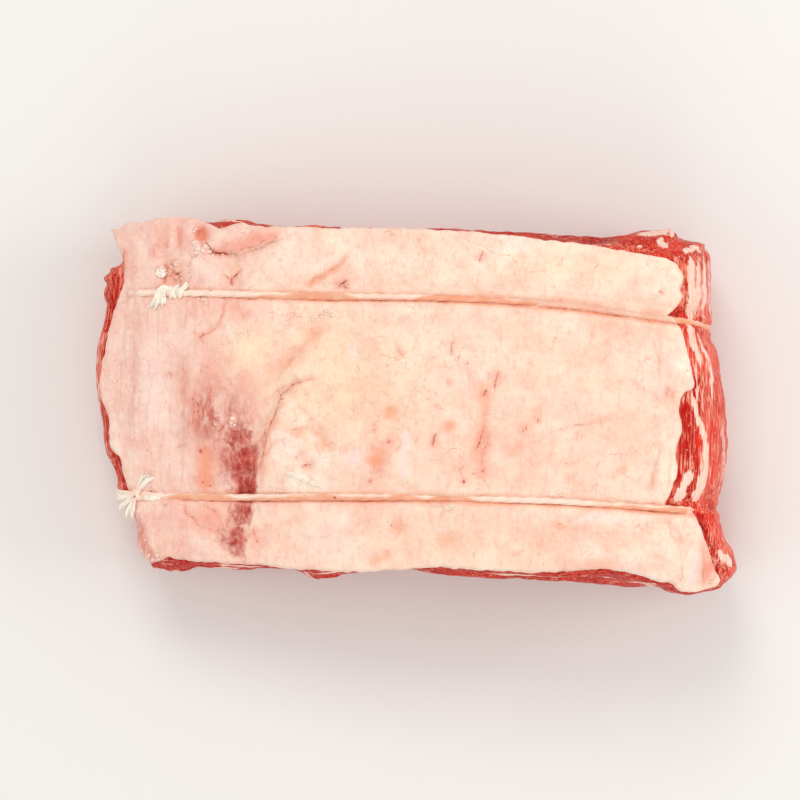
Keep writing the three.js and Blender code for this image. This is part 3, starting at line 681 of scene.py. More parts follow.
    ("amber", 2.6, 0.6, -0.2, [(86, -27), (89, -29.5)]),
    ("blush", 2.2, 0.5, -0.6, [(103.5, -22.5), (101, -31.5), (99, -38)]),
    ("shade", 0.6, 0.9, -0.55, [(103.5, 50.5), (104.5, 49), (106, 48)]),
    ("mauve", 4.4, 0.9, -0.5, [(124.6, -61), (127.6, -67.5), (129.8, -74.5)]),
    ("blush", 4.0, 1.2, -0.2, [(124.6, -62), (127.2, -68), (128.6, -76)]),
    ("shade", 0.4, 0.6, -0.4, [(122.6, -60), (124.2, -66), (124.6, -72), (125, -81)]),
    ("pale", 5.5, 1, 0.4, [(118.6, -62), (119.5, -70), (120.5, -80)]),  # fold at the ragged corner
    ("mauve", 2.6, 0.55, -0.2, [(-125, -48), (-123.6, -58), (-120.6, -66), (-115, -68.4)]),
]
fatSpots = [
    ("blush", (-110, -57), (14, 12), 0.4, 0), ("blush", (-103, 66), (14, 12), 0.36, 0),
    ("blush", (-122, -20), (7, 24), 0.28, 0), ("blush", (60, -58), (34, 9), 0.22, 0),
    ("blush", (84, 0), (16, 26), 0.12, 0), ("mauve", (-104, 2), (5, 20), 0.3, 0),
    ("blood", (-107.2, 58.2), (1.3, 1), 0.5, -0.8), ("amber", (-108.5, 57.5), (5, 6), 0.25, 0),
    ("blush", (-96, 75.5), (2.8, 4), 1.8, -0.5), ("amber", (-95.8, 75), (1.6, 3), 0.45, 0), ("pale", (-101, 77.5), (3, 2.6), 0.9, 0.8),
    ("pale", (-96, 69.8), (4.4, 3.2), 1, 1.3), ("milk", (-115, 59.8), (2.4, 1.8), 0.9, 0.6),
    ("pale", (-94, 60), (7, 5.5), 0.9, 0.3), ("pale", (-103.5, 65.5), (3, 2), 0.6, 0.4),
    ("amber", (-82, 60.5), (2.4, 2), 0.9, -0.2), ("mauve", (-93.5, -4.5), (8, 13), 1, -0.3),
    ("mauve", (-82, -3.5), (10, 10.5), 0.62, -0.2), ("purple", (-79, -15.5), (7.5, 8), 0.85, -0.4),
    ("pale", (-86, -6.5), (6.5, 3.4), 0.75, 0.2), ("milk", (-81.8, -6.2), (1.4, 1.6), 0.9, 0.4),
    ("purple", (-77, -24), (8.5, 10), 1, -0.5), ("purple", (-75.8, -36), (6.2, 7), 1, -0.6),
    ("purple", (-77, -47.5), (6.5, 8), 0.95, -0.3), ("purple", (-80, -58.5), (6, 9), 1.1, -0.2),
    ("purple", (-86, -58), (6, 5), 0.5, -0.1), ("blood", (-75.8, -38.2), (3.2, 3.0), 0.7, -0.4), ("blush", (-93.7, -28.3), (5, 10), 1, -0.2),
    ("blood", (-77.4, -34), (5.4, 3.4), 0.4, 0), ("mauve", (-87.2, -24), (3.6, 8), 0.6, -0.1),
    ("blood", (-94.4, -28), (3.8, 7.5), 0.16, 0),
    ("amber", (-94.2, -27), (3.4, 8), 0.9, 0), ("blush", (-94.4, -28), (4, 9), 2.0, 0), ("blood", (-95.9, -20.4), (1.2, 1.2), 0.9, -0.3),
    ("blood", (-95.4, -33.6), (0.9, 0.9), 0.9, -0.2), ("blood", (-92.4, -35.3), (0.9, 0.9), 0.9, -0.2), ("blush", (-76, 11.5), (6, 7), 0.5, -0.1),
    ("pale", (-118.5, 8.5), (8, 16), 0.9, 0.1), ("blush", (-19, 6), (9, 14), 0.5, -0.2),
    ("blood", (-13.5, -16), (1.2, 1.2), 0.9, -0.2), ("blood", (-21.5, -32.5), (1, 1), 0.8, 0),
    ("amber", (12.5, -9), (2.4, 2.4), 0.9, -0.1), ("blood", (28, -28), (1.2, 1.6), 0.75, -0.2),
    ("blood", (19, -32.5), (1.0, 1.0), 0.85, -0.2), ("blood", (-17.5, -27.5), (1.3, 1.3), 0.7, -0.1),
    ("blood", (46, -10), (0.9, 1.6), 0.6, -0.2), ("blush", (12.5, -9), (3.2, 3), 0.8, -0.1),
    ("blush", (14, -26), (6, 5), 0.6, 0), ("mauve", (-118, -69), (5, 2), 0.5, 0),
    ("blood", (14, 10), (0.8, 0.8), 0.8, 0), ("blood", (51.5, -7), (0.8, 0.8), 0.8, 0),
    ("amber", (57.5, -20.5), (0.8, 0.8), 0.7, 0), ("blood", (-20, -8.5), (0.7, 0.7), 0.8, 0),
    ("blood", (-20.5, -11), (0.7, 0.7), 0.8, 0), ("blood", (-84.5, 12), (0.7, 0.7), 0.9, 0),
    ("shade", (-12, -52), (0.8, 0.8), 0.9, 0), ("shade", (60.5, -51), (0.8, 0.8), 0.8, 0),
    ("shade", (102.5, -65), (0.8, 0.8), 0.6, 0), ("mauve", (95.5, -59.5), (5, 7), 0.55, -0.2),
    ("mauve", (93, -6), (2, 3), 0.5, -0.2), ("pale", (-24, -23.5), (5, 5), 0.8, 0.1),
    ("blush", (96, 51), (5.5, 6), 0.5, -0.2), ("blush", (86, 33), (13, 4), 0.35, 0),
    ("blush", (-90, -50), (10, 9), 0.7, 0), ("amber", (-98, -47), (5, 5), 0.4, 0), ("blush", (-72, -58), (4, 5), 0.9, 0),
    ("blush", (-18, -24), (4.6, 8), 1.1, 0), ("pale", (-38, -60), (10, 8), 0.7, 0.2), ("pale", (-46, -61), (3, 4), 0.8, 0.3),
    ("blush", (-109, 59), (4.4, 6), 0.75, 0), ("milk", (-8, 63), (34, 11), 0.45, 0),
    ("blush", (127, -70), (4, 9), 1.4, 0), ("mauve", (125.5, -62), (3, 6), 0.9, 0),
    ("mauve", (101, 12), (4, 20), 0.22, 0), ("mauve", (99, -12), (5, 12), 0.2, 0), ("blush", (103, 12), (10, 32), 0.4, 0),
    ("blush", (60, -8), (50, 34), 0.14, 0), ("blush", (52, -60), (60, 10), 0.14, 0), ("mauve", (123, -60), (4, 7), 0.6, -0.2),
    ("blush", (66, 5), (10, 8), 0.3, 0), ("blush", (40, -30), (14, 6), 0.3, 0), ("blush", (-40, -55), (16, 8), 0.25, 0),
    ("blush", (-95, 42), (8, 6), 0.4, 0), ("blush", (-88, 16), (9, 9), 0.45, 0), ("mauve", (-127, 20), (2.4, 22), 0.25, 0),
    ("shade", (-119, -39), (1.4, 1.1), 1, -1.2), ("blush", (127, -71.5), (6, 8), 0.8, -0.4),
]
fatLaps = [  # skins that overlap: height, how far it runs out, line with the raised skin on its left
    (1.1, 7, [(-98, 77.4), (-94.5, 71.7), (-89.2, 67.3), (-79.1, 66.8), (-69.4, 69.9), (-60.1, 73.9), (-52.6, 76.1)]),
    (0.8, 5, [(-80, 55), (-80.9, 59.8), (-77.8, 63.4), (-79.2, 65.1), (-90.2, 66.9), (-98.2, 66), (-101.2, 63.4), (-102.1, 53.2)]),
    (0.5, 8, [(-39.1, 38.3), (-52.3, 24.3), (-65.4, 9), (-68.9, 4.6)]),
    (0.9, 6, [(-44.4, 12.1), (-52.3, 10.3), (-59.7, 6.8), (-62.8, 2.4), (-65.4, -4.1), (-68.4, -13.8), (-70.2, -26), (-69.8, -37.8)]),
    (0.6, 3, [(105.8, -14.9), (102.4, -27.9), (100.2, -39.6)]),
    (0.5, 3, [(110, -18), (108.5, -30), (107, -40)]),
    (0.5, 4, [(100.4, 32), (103.5, 20), (104.5, 6)]),
    (0.5, 4, [(106, -48), (110, -56), (114, -62)]),
    (0.6, 3.5, [(117, -61), (114.5, -70), (113.5, -79)]),
    (0.7, 3.5, [(127, -77), (124.5, -70), (120.5, -61)]),
    (0.6, 4, [(-113.5, 81), (-112.5, 66), (-111, 60)]),
    (0.5, 5, [(-121, 30), (-119, 10), (-121.5, -12), (-116, -34)]),
    (0.5, 5, [(-108, 30), (-103, 12), (-104.5, -6), (-101, -24)]),
    (0.4, 6, [(-128, 22), (-127, -4), (-124, -26)]),
]
crackWidest = 1.3  # wider marks are painted as patches
# painted contact shade: thin dark lines at the foot of each tie: offset from the tie, where along X it starts, strength
tieShadeLines = {"upper": [(-1.75, -140, 0.8), (1.9, 20, 0.45)], "lower": [(-1.7, -140, 0.75), (1.75, 0, 0.5)]}
fatKinds = ["blush", "amber", "blood", "shade", "milk", "mauve", "purple", "pale"]
butterSpots = [((-73.5, 24.5), (14, 9), 1.0), ((-41, 25), (18, 14), 1.0), ((-32.5, 4.5), (28, 27), 1.0),
               ((60, 60), (60, 9), 0.45), ((70, 20), (26, 20), 0.25), ((30, -62), (70, 8), 0.4)]

muscleEdge = [(-66, 30), (-64.5, -7), (-69, -17), (-70.8, -28), (-71.4, -41), (-73, -52), (-76, -66), (-77, -80)]
fatCrumbs = [  # middle, reach, number, sizes and how long they are
    ((-57, -30.6), (2.4, 1.1), 4, (0.5, 1.0), 2.2), ((-49, -33.0), (3.6, 0.9), 3, (0.5, 0.9), 2.6),
    ((-42, -35.6), (3, 0.8), 4, (0.35, 0.7), 2.0), ((-61, -36.6), (5, 1.4), 9, (0.3, 0.7), 1.5),
    ((-86, -8.2), (5.0, 1.8), 5, (0.3, 0.6), 1.8), ((-82, -7.4), (1.2, 1.8), 3, (0.3, 0.6), 1.6),
    ((-114.8, 59.8), (2.4, 1.5), 12, (0.5, 1.2), 1.4), ((-108.8, 59.5), (2.2, 3.6), 8, (0.9, 1.9), 1.4),
    ((-105.4, 56.5), (0.9, 3.4), 5, (0.4, 0.8), 1.5), ((-95.8, 69.8), (3.4, 2.6), 16, (0.6, 1.5), 1.5),
    ((-90.5, 66.1), (11, 0.5), 16, (0.3, 0.6), 2.2), ((-101.6, 60.5), (0.5, 4.6), 8, (0.3, 0.7), 1.3),
    ((-100.6, 77.6), (1.6, 2.6), 4, (0.5, 1.0), 1.6), ((-96.4, 79.3), (1.6, 0.6), 2, (0.4, 0.7), 1.8), ((-95.8, 46), (1.8, 1.2), 8, (0.4, 0.9), 1.4),
    ((-78.6, 63.4), (1.6, 2.0), 6, (0.35, 0.8), 1.6), ((-40, 40.3), (2.2, 1.4), 9, (0.35, 0.9), 1.5),
    ((-45, 38), (2.6, 1.2), 6, (0.3, 0.7), 1.5), ((12.5, -44.8), (1.8, 1.6), 8, (0.35, 0.8), 1.5),
    ((-39, 53), (2.6, 1.2), 6, (0.3, 0.6), 1.8), ((-70.4, -46), (1.4, 3), 5, (0.3, 0.55), 1.4),
    ((27, -36.6), (4, 0.8), 6, (0.3, 0.6), 1.8), ((60, -38.4), (3, 0.9), 6, (0.3, 0.7), 1.8),
    ((-118, -66.5), (3, 1.6), 9, (0.3, 0.8), 1.6), ((-122.6, -56), (0.9, 5), 8, (0.25, 0.6), 1.6),
    ((129, -77), (1.6, 1.6), 6, (0.4, 0.9), 1.6),
]

fatPatch = planPatch(fatOutline, fatCap["edgeRough"], 11)


def tieGroove(x, y):
    # the fat closes in on each tie, and toward the chine it lies over the upper one
    rise = np.zeros(np.shape(x))
    for n, (name, tie) in enumerate(ties.items()):
        off = y - alongTable(tie["run"], x)
        sunk = smoothShare((x + 60) / 60)
        uneven = 1 + 0.35 * softNoise(x, y * 0, 8, 60 + n)
        rise += (0.35 + 0.75 * sunk) * uneven * np.exp(-(((np.abs(off) - 2.8) / 1.2) ** 2))
        rise -= (0.5 + 0.2 * sunk) * np.exp(-(((off + 1.6) / 0.5) ** 2))
        rise -= 0.5 * (1 - sunk) * np.exp(-(((off - 1.6) / 0.5) ** 2))
        rise += 1.1 * sunk * np.exp(-(((off - 1.7) / 1.0) ** 2))
        if name == "upper":
            over = smoothShare((x - 36) / 34) * smoothShare((off + 1.7) / 0.9)
            rise += 2.4 * over * np.exp(-(((off - 0.9) / 2.6) ** 2))
            rise += 1.2 * smoothShare((-122 - x) / 4) * np.exp(-((off / 2.2) ** 2))
    return rise


def fatLumps(x, y):
    total = np.zeros(np.shape(x))
    for n, (size, height) in enumerate(fatCap["lumps"]):
        total += height * softNoise(x + 0.3 * y, y - 0.2 * x, size, 80 + n)
    sinews = smoothShare((-88 - x) / 16)  # upright ridges over the tail
    return total + 0.35 * sinews * softNoise(x + 0.06 * y, y * 0.12, 3.6, 86)


def chineShare(u):
    return smoothShare((np.asarray(u) - 0.9) / 0.09)


def rimDepth(u):
    return fatCap["rim"] + (fatCap["chineRim"] - fatCap["rim"]) * chineShare(u)


def fatThickness(x, edge, u):
    share = smoothShare((x - fatCap["tailBlend"][0]) / (fatCap["tailBlend"][1] - fatCap["tailBlend"][0]))
    full = fatCap["tail"] + (fatCap["middle"] - fatCap["tail"]) * share
    return rimDepth(u) + (full - rimDepth(u)) * smoothShare(edge / fatCap["rimReach"])


def edgeDistance(u, v):
    return np.minimum(np.minimum(u, 1 - u) * fatCap["span"][0], np.minimum(v, 1 - v) * fatCap["span"][1])


def edgeDrop(edge):
    inward = np.clip(fatCap["edgeRadius"] - edge, 0, None)
    return fatCap["edgeRadius"] - np.sqrt(fatCap["edgeRadius"] ** 2 - inward**2)


def tieStainAndCreaseShade(x, y):
    # stained fat beside the ties, with painted shade in the creases on both sides of each tie and where the fat lobe
    # lies over the upper one
    wash = np.zeros(np.shape(x))
    for n, (name, tie) in enumerate(ties.items()):
        off = y - alongTable(tie["run"], x)
        uneven = 0.62 + 0.38 * softNoise(x, y * 0, 11, 90 + n)
        sunk = 0.35 + 0.65 * smoothShare((x + 90) / 50)
        below = np.exp(-(((off + 1.9) / 1.1) ** 2))
        above = 0.55 * np.exp(-(((off - 2.2) / 1.5) ** 2))
        wash = np.maximum(wash, sunk * uneven * np.maximum(below, above))
        if name == "upper":
            over = smoothShare((x - 36) / 34)
            wash = np.maximum(wash, over * (0.4 + 0.6 * uneven) * np.exp(-(((off + 1.3) / 0.9) ** 2)))
    return wash


def muscleShow(x, y, purple, mauve):
    # the bare muscle ends sharply at the long split on its right
    away, _, side = nearLine(x + 0.5 * softNoise(x, y, 4, 31), y, muscleEdge)
    left = smoothShare((0.6 - away * side) / 1.6)
    streaks = 0.5 + 0.5 * softNoise(x, y * 0.3, 1.5, 32)
    blots = 0.5 + 0.5 * softNoise(x + 0.4 * y, y - 0.3 * x, 2.1, 34)
    crumbled = smoothShare((-41 - y) / 3)  # below the tie it shows through in specks
    core = 1.3 * purple * left * (0.8 + 0.4 * streaks * blots) * (1 - 0.3 * crumbled)
    orangeTint = np.exp(-(((x + 94) / 4.5) ** 2) - ((y + 27) / 9) ** 2)  # an orange stain instead
    return np.clip(core, 0, 1), np.clip(1.3 * mauve * left * (0.75 + 0.5 * streaks) * (1 - 0.85 * orangeTint), 0, 1)


def fatSurface(x, y):
    # tint masks and the height of the fat's upper side
    masks, rise = markSurface(fatMarks, fatSpots, x, y, fatKinds, 0.7, 21, True)
    crumbly = 1 + 0.9 * masks["milk"] * softNoise(x, y, 1.3, 22)
    return masks, topHeight(x, y) + fatLumps(x, y) + tieGroove(x, y) + rise * crumbly + lapRise(fatLaps, x, y)


def makeCrumbs(rng):
    # loose crumbs and shreds of fat that lie on the surface
    rows = []
    for (cx, cy), (rx, ry), count, (small, large), stretch in fatCrumbs:
        for _ in range(count):
            rows.append((cx + rx * rng.uniform(-1, 1), cy + ry * rng.uniform(-1, 1), rng.uniform(small, large),
                         rng.uniform(1, stretch), rng.uniform(-0.7, 0.7)))
    x, y, size = np.array(rows).T[:3]
    masks, height = fatSurface(x, y)
    height = height + 0.15 * size
    parts = [bumpyLump(rng, px, py, z, crumb, long, turn, 0.45, 0.22, (10, 6))
             for (px, py, crumb, long, turn), z in zip(rows, height)]
    each = len(parts[0][0])
    lowest = np.repeat([part[0][:, 2].min() for part in parts], each)
    deep = np.repeat([np.ptp(part[0][:, 2]) for part in parts], each)
    # painted shade: each crumb is tinted warm at its foot, where it meets the fat, and stays milk-white on top
    foot = 1 - smoothShare((np.concatenate([part[0][:, 2] for part in parts]) - lowest) / deep / 0.85)
    masks = {kind: np.repeat(mask, each) for kind, mask in masks.items()}
    masks["milk"] = np.maximum(masks["milk"], 0.6 - 0.6 * np.clip(masks["blush"], 0, 1)) * (1 - foot)
    masks["blush"] = np.maximum(masks["blush"], 1.2 * foot)  # painted warm shade where they meet the fat
    masks["amber"] = np.maximum(masks["amber"], 1.4 * foot)
    return parts, masks


def buildFatCap(material):
    cols, rows, step = fatCap["columns"], fatCap["rows"], 6
    uLine = crowded(np.linspace(0, 1, cols + 1), fatCap["crowding"])
    vLine = crowded(np.linspace(0, 1, rows + 1), fatCap["crowding"])
    v, u = (grid.ravel() for grid in np.meshgrid(vLine, uLine, indexing="ij"))
    x, y = fatPatch(u, v).T
    edge = edgeDistance(u, v)
    masks, top = fatSurface(x, y)
    crack = crackAndShadeField(fatMarks, x, y)
    z = top - edgeDrop(edge)
    grid = np.stack([x, y, z], 1)
    # rim: rings down from the border, uneven on the way
    i, j = borderWalk(cols, rows)
    border = j * (cols + 1) + i
    bx, by, bTop, depth = x[border], y[border], z[border], rimDepth(u[border])
    along = np.arange(len(border)) * 0.7
    tangent = np.roll(np.stack([bx, by], 1), -4, 0) - np.roll(np.stack([bx, by], 1), 4, 0)
    outward = np.stack([tangent[:, 1], -tangent[:, 0]], 1) / np.linalg.norm(tangent, axis=1)[:, None]
    rings = []
    for share, swell in ((0.25, 0.3), (0.5, 0.35), (0.75, 0.1), (1.0, -0.4)):
        swell = (swell + 0.25 * softNoise(along, along * 0 + 9 * share, 3.0, 33)) * depth / fatCap["rim"]
        level = bTop - share * (depth - fatCap["edgeRadius"])
        plan = np.stack([bx, by], 1) + outward * swell[:, None]
        rings.append(np.column_stack([plan, level]))
    start = len(grid)
    ringIds = [border] + [start + n * len(border) + np.arange(len(border)) for n in range(len(rings))]
    baseStart = start + len(rings) * len(border)
    baseU = 0.008 + 0.984 * uLine[::step]
    baseV = 0.012 + 0.976 * vLine[::step]
    bv, bu = (g.ravel() for g in np.meshgrid(baseV, baseU, indexing="ij"))
    px, py = fatPatch(bu, bv).T
    base = np.stack([px, py, topHeight(px, py) - fatThickness(px, edgeDistance(bu, bv), bu)], 1)
    points = np.vstack([grid] + rings + [base])
    faces = [gridQuads(cols, rows, 0, True)]
    faces += [ringQuads(low, high) for high, low in zip(ringIds, ringIds[1:])]
    faces += [*capFaces(ringIds[-1], cols, rows, step, baseStart, False)]
    # tints: the rim takes its border's, and the underside keeps the plain colour
    butter = np.zeros(len(grid))
    for (cx, cy), (rx, ry), strength in butterSpots:
        butter = np.maximum(butter, strength * np.exp(-(((x - cx) / rx) ** 2) - ((y - cy) / ry) ** 2))
    masks["butter"] = butter * (0.8 + 0.4 * softNoise(x, y, 9, 44))
    # amber also carries the painted crease shade beside the ties
    masks["amber"] = np.maximum(masks["amber"], tieStainAndCreaseShade(x, y))
    masks["purple"], masks["mauve"] = muscleShow(x, y, masks["purple"], masks["mauve"])
    masks.update(zip(("side", "crack", "red"), crack))
    crumbParts, crumbMasks = makeCrumbs(np.random.default_rng(45))
    crumbs, crumbFaces = joinParts(crumbParts)
    faces += [np.array([[n + len(points) for n in f] for f in crumbFaces if len(f) == size]) for size in (3, 4)]
    points = np.vstack([points, crumbs])
    full = {}
    for kind, mask in masks.items():
        rest = 1.0 if kind == "side" else 0.0  # far from any crack
        onCrumbs = crumbMasks.get(kind, np.full(len(crumbs), rest))
        full[kind] = np.r_[mask, np.tile(mask[border], len(rings)), np.full(len(base), rest), onCrumbs]
    tints = {
        "tintRed": [full["blush"], full["amber"], full["blood"]],
        "tintMark": [full["shade"], full["milk"], full["mauve"]],
        "tintBody": [full["purple"], full["butter"], full["pale"]],
        "tintCrackAndShade": [full["side"], full["crack"], full["red"]],
    }
    return makePiece("fatCap", points, faces, material, tints)


def makeFatMaterial():
    material, tree, shader, place = startMaterial("creamFat")
    red, mark, body, crack = (readTints(tree, name) for name in ("tintRed", "tintMark", "tintBody", "tintCrackAndShade"))
    colour = {name: linear(*value) for name, value in fatCap["tints"].items()}

    def mottle(scale, detail, warp, low, high):
        return useGroup(tree, mottleGroup, Vector=place, Scale=scale, Detail=detail, Warp=warp, Low=low, High=high)

    def crisp(mask, noise, low, high, spreadBy=0.4):
        # a soft painted mask drawn in to a broken line
        shifted = calc(tree, "ADD", mask, calc(tree, "MULTIPLY", calc(tree, "SUBTRACT", noise, 0.5), spreadBy))
        return spread(tree, shifted, low, high)

    def scaled(mask, amount):
        return calc(tree, "MULTIPLY", mask, amount)

    across = put(tree, "SeparateXYZ", {0: place}).outputs[0]
    broad, small = mottle(24.0, 5.0, 0.15, 0.3, 0.7), mottle(95.0, 5.0, 0.25, 0.36, 0.68)
    tiny, grit = mottle(420.0, 3.0, 0.4, 0.4, 0.66), mottle(900.0, 3.0, 0.3, 0.3, 0.7)
    base = blend(tree, broad, linear(*fatCap["cream"]), linear(*fatCap["peach"]))
    rosy = calc(tree, "MULTIPLY", spread(tree, across, -0.045, -0.1), spread(tree, small, -1.0, 1.0))
    base = blend(tree, rosy, base, linear(*fatCap["rosy"]))
    base = blend(tree, scaled(body[1], 0.85), base, linear(*fatCap["butter"]))
    base = blend(tree, scaled(small, 0.25), base, colour["blush"])
    base = blend(tree, scaled(tiny, 0.2), base, linear(255, 240, 222))
    clouds = calc(tree, "MULTIPLY", mottle(34.0, 4.0, 0.3, 0.5, 0.72), mottle(150.0, 4.0, 0.5, 0.3, 0.6))
    base = blend(tree, scaled(clouds, 0.7), base, linear(*fatCap["cloud"]))
    strands = useGroup(tree, fibreGroup, Vector=place, Across=520.0, Along=130.0, Warp=1.4, Low=0.52, High=0.7)
    base = blend(tree, scaled(strands, 0.16), base, colour["mauve"])
    sinews = useGroup(tree, fibreGroup, Vector=place, Across=330.0, Along=26.0, Warp=1.0, Low=0.5, High=0.68)
    sinews = calc(tree, "MULTIPLY", sinews, spread(tree, across, -0.082, -0.104))
    base = blend(tree, scaled(sinews, 0.34), base, linear(*fatCap["sinew"]))
    hairs = useGroup(tree, hairGroup, Vector=place, Scale=44.0, Width=0.022, Warp=0.016, Amount=0.5)
    base = blend(tree, calc(tree, "MULTIPLY", hairs, scaled(tiny, 0.7)), base, colour["hair"])
    base = blend(tree, scaled(body[2], 0.7), base, colour["pale"])
    patchy = spread(tree, small, -1.4, 1.1)
    base = blend(tree, calc(tree, "MULTIPLY", red[0], patchy), base, colour["blush"])
    base = blend(tree, calc(tree, "MULTIPLY", red[1], patchy), base, colour["amber"])
    fibres = useGroup(tree, fibreGroup, Vector=place, Across=430.0, Along=190.0, Warp=0.9, Low=0.36, High=0.62)
    base = blend(tree, calc(tree, "MULTIPLY", mark[2], spread(tree, fibres, -0.9, 1.0)), base, colour["mauve"])
    bare = crisp(body[0], mottle(260.0, 4.0, 0.8, 0.3, 0.7), 0.0, 1.0, 0.36)
    base = blend(tree, bare, base, colour["purple"])
    bruise = calc(tree, "MAXIMUM", bare, scaled(mark[2], 0.14))
    base = blend(tree, scaled(calc(tree, "MULTIPLY", bruise, fibres), 0.9), base, linear(*fatCap["muscle"]))
    pinkFleck = calc(tree, "MULTIPLY", bruise, calc(tree, "MULTIPLY", tiny, spread(tree, strands, -0.4, 0.9)))
    base = blend(tree, scaled(pinkFleck, 0.6), base, linear(*fatCap["muscleFleck"]))
    base = blend(tree, crisp(mark[1], grit, 0.35, 0.85, 0.6), base, colour["milk"])
    base = blend(tree, scaled(crisp(red[2], grit, 0.3, 0.8), 0.85), base, colour["blood"])
    base = blend(tree, scaled(crisp(mark[0], grit, 0.3, 0.8), 0.8), base, colour["shade"])
    # cracks, and the painted shade lines at the foot of each tie: a thin wandering line with a warm glow, drawn where
    # the signed distance is zero
    offLine = calc(tree, "MULTIPLY", calc(tree, "ABSOLUTE", calc(tree, "SUBTRACT", crack[0], 0.5)), 6.0)
    glow = calc(tree, "MULTIPLY", crack[1], calc(tree, "SUBTRACT", 1.0, spread(tree, offLine, 0.2, 2.6)))
    base = blend(tree, scaled(calc(tree, "MULTIPLY", glow, patchy), 0.75), base, colour["blush"])
    wander = calc(tree, "ADD", offLine, scaled(calc(tree, "SUBTRACT", grit, 0.5), 0.3))
    width = spread(tree, tiny, 0.0, 1.0, 0.2, 0.5)
    line = calc(tree, "SUBTRACT", 1.0, spread(tree, calc(tree, "DIVIDE", wander, width), 0.2, 1.0))
    gaps = scaled(calc(tree, "SUBTRACT", calc(tree, "ADD", small, tiny), 1.0), 0.4)
    broken = spread(tree, calc(tree, "ADD", crack[1], gaps), 0.12, 1.05)
    line = calc(tree, "MULTIPLY", line, broken)
    crackColour = blend(tree, spread(tree, crack[1], 0.45, 1.1), linear(*fatCap["crackFaint"]), colour["shade"])
    crackColour = blend(tree, crack[2], crackColour, colour["blood"])
    base = blend(tree, scaled(line, 0.85), base, crackColour)
    tree.links.new(base, shader.inputs["Base Color"])
    film = useGroup(tree, filmGroup, Vector=place, Scale=120.0, Wet=0.24, Dry=0.52)
    tree.links.new(film, shader.inputs["Roughness"])
    grain = useGroup(tree, grainGroup, Vector=place, Fine=1300.0, Coarse=330.0, Share=0.62)
    height = calc(tree, "SUBTRACT", calc(tree, "ADD", grain, scaled(strands, 0.16)), scaled(line, 0.7))
    bump = put(tree, "Bump", {"Strength": 0.5, "Distance": 0.001, "Height": height})
    tree.links.new(bump.outputs[0], shader.inputs["Normal"])
    shader.inputs["Subsurface Weight"].default_value = 0.15
    shader.inputs["Subsurface Radius"].default_value = (1.0, 0.85, 0.75)
    shader.inputs["Subsurface Scale"].default_value = 0.0006
    shader.inputs["Specular IOR Level"].default_value = 0.4
    return material


lean = {
    "columns": 300, "rows": 180, "wallRows": 82, "roofStep": 6, "crowding": 0.2,
    "edgeRough": ((9, 0.5), (3.4, 0.3)),
    "muscles": [  # ovals on the cut faces: middle, reach and rise
        ((50, 34), (58, 27), 2.2), ((36, 70), (44, 9), 1.4), ((122, 56), (16, 14), 1.4),
        ((-36, 26), (24, 20), 1.6), ((-100, 22), (30, 10), 1.3),
    ],
    "muscleRim": 0.28,
    "ground": (222, 54, 38), "dark": (186, 26, 20), "fibre": (242, 118, 92), "fleck": (255, 190, 166),
    "tints": {
        "seam": (255, 218, 200), "deep": (186, 22, 18), "bright": (230, 44, 30),
        "salmon": (248, 138, 110), "pale": (255, 206, 192), "shade": (92, 14, 12),
    },
    "seamShade": (248, 176, 152), "marble": (252, 196, 176),
}
leanOutline = {
    "left": [
        (-121, -73.2), (-126.3, -63.3), (-128.6, -49.7), (-136.3, -38.3), (-137.2, -33.8), (-139.3, -27.5),
        (-142.5, -21.8), (-143.9, -11.6), (-145.2, -2.1), (-146, 7.4), (-146.2, 14.2), (-145.8, 26.4),
        (-144.9, 32.8), (-143.2, 37.3), (-142, 45.9), (-141.7, 50.2), (-142, 55.4), (-143.2, 58.3),
        (-140.6, 60.3), (-140.4, 62), (-135.4, 63.5), (-132.7, 66.8), (-131, 77),
    ],
    "right": [
        (138, -80.6), (143, -77), (144.8, -74.4), (143.4, -69.3), (141.8, -65.9), (139.5, -62), (138.3, -59.2),
        (136.7, -51.3), (134.4, -46.3), (136, -42.4), (137.5, -37.2), (139, -29.4), (139.7, -11.2), (138.1, 2.4),
        (134.9, 22.9), (133.3, 27.5), (130.4, 34.3), (133.1, 39.3), (132.9, 48), (132.2, 57.1), (131.7, 68),
        (129.5, 71.5),
    ],
    "bottom": [
        (-121, -73.2), (-117.9, -73.5), (-109.8, -74.5), (-105.3, -73.9), (-100.3, -72.6), (-90, -73.3),
        (-68.8, -74.1), (-53.5, -74.6), (-49.9, -76.7), (-44.1, -77.5), (-37.3, -76.1), (-34.2, -74.5),
        (-11.2, -73.2), (12.6, -74.4), (37.4, -75.8), (59, -76.4), (80.6, -79), (99.5, -81.1), (118.4, -83.5),
        (138, -80.6),
    ],
    "top": [
        (-131, 77), (-114.6, 80.6), (-97, 81.4), (-90, 82.6), (-81.5, 83.5), (-71.5, 82.3), (-58.8, 80.3),
        (-40.5, 79.9), (-8.5, 78.3), (23.1, 76.7), (54.7, 74.8), (77.3, 74.1), (86.3, 73.9), (94.9, 75.2), (101.7, 78.3), (109.4, 79.4), (115.7, 77.9), (117, 74.9),
        (121.6, 73.1), (129.5, 71.5),
    ],
}
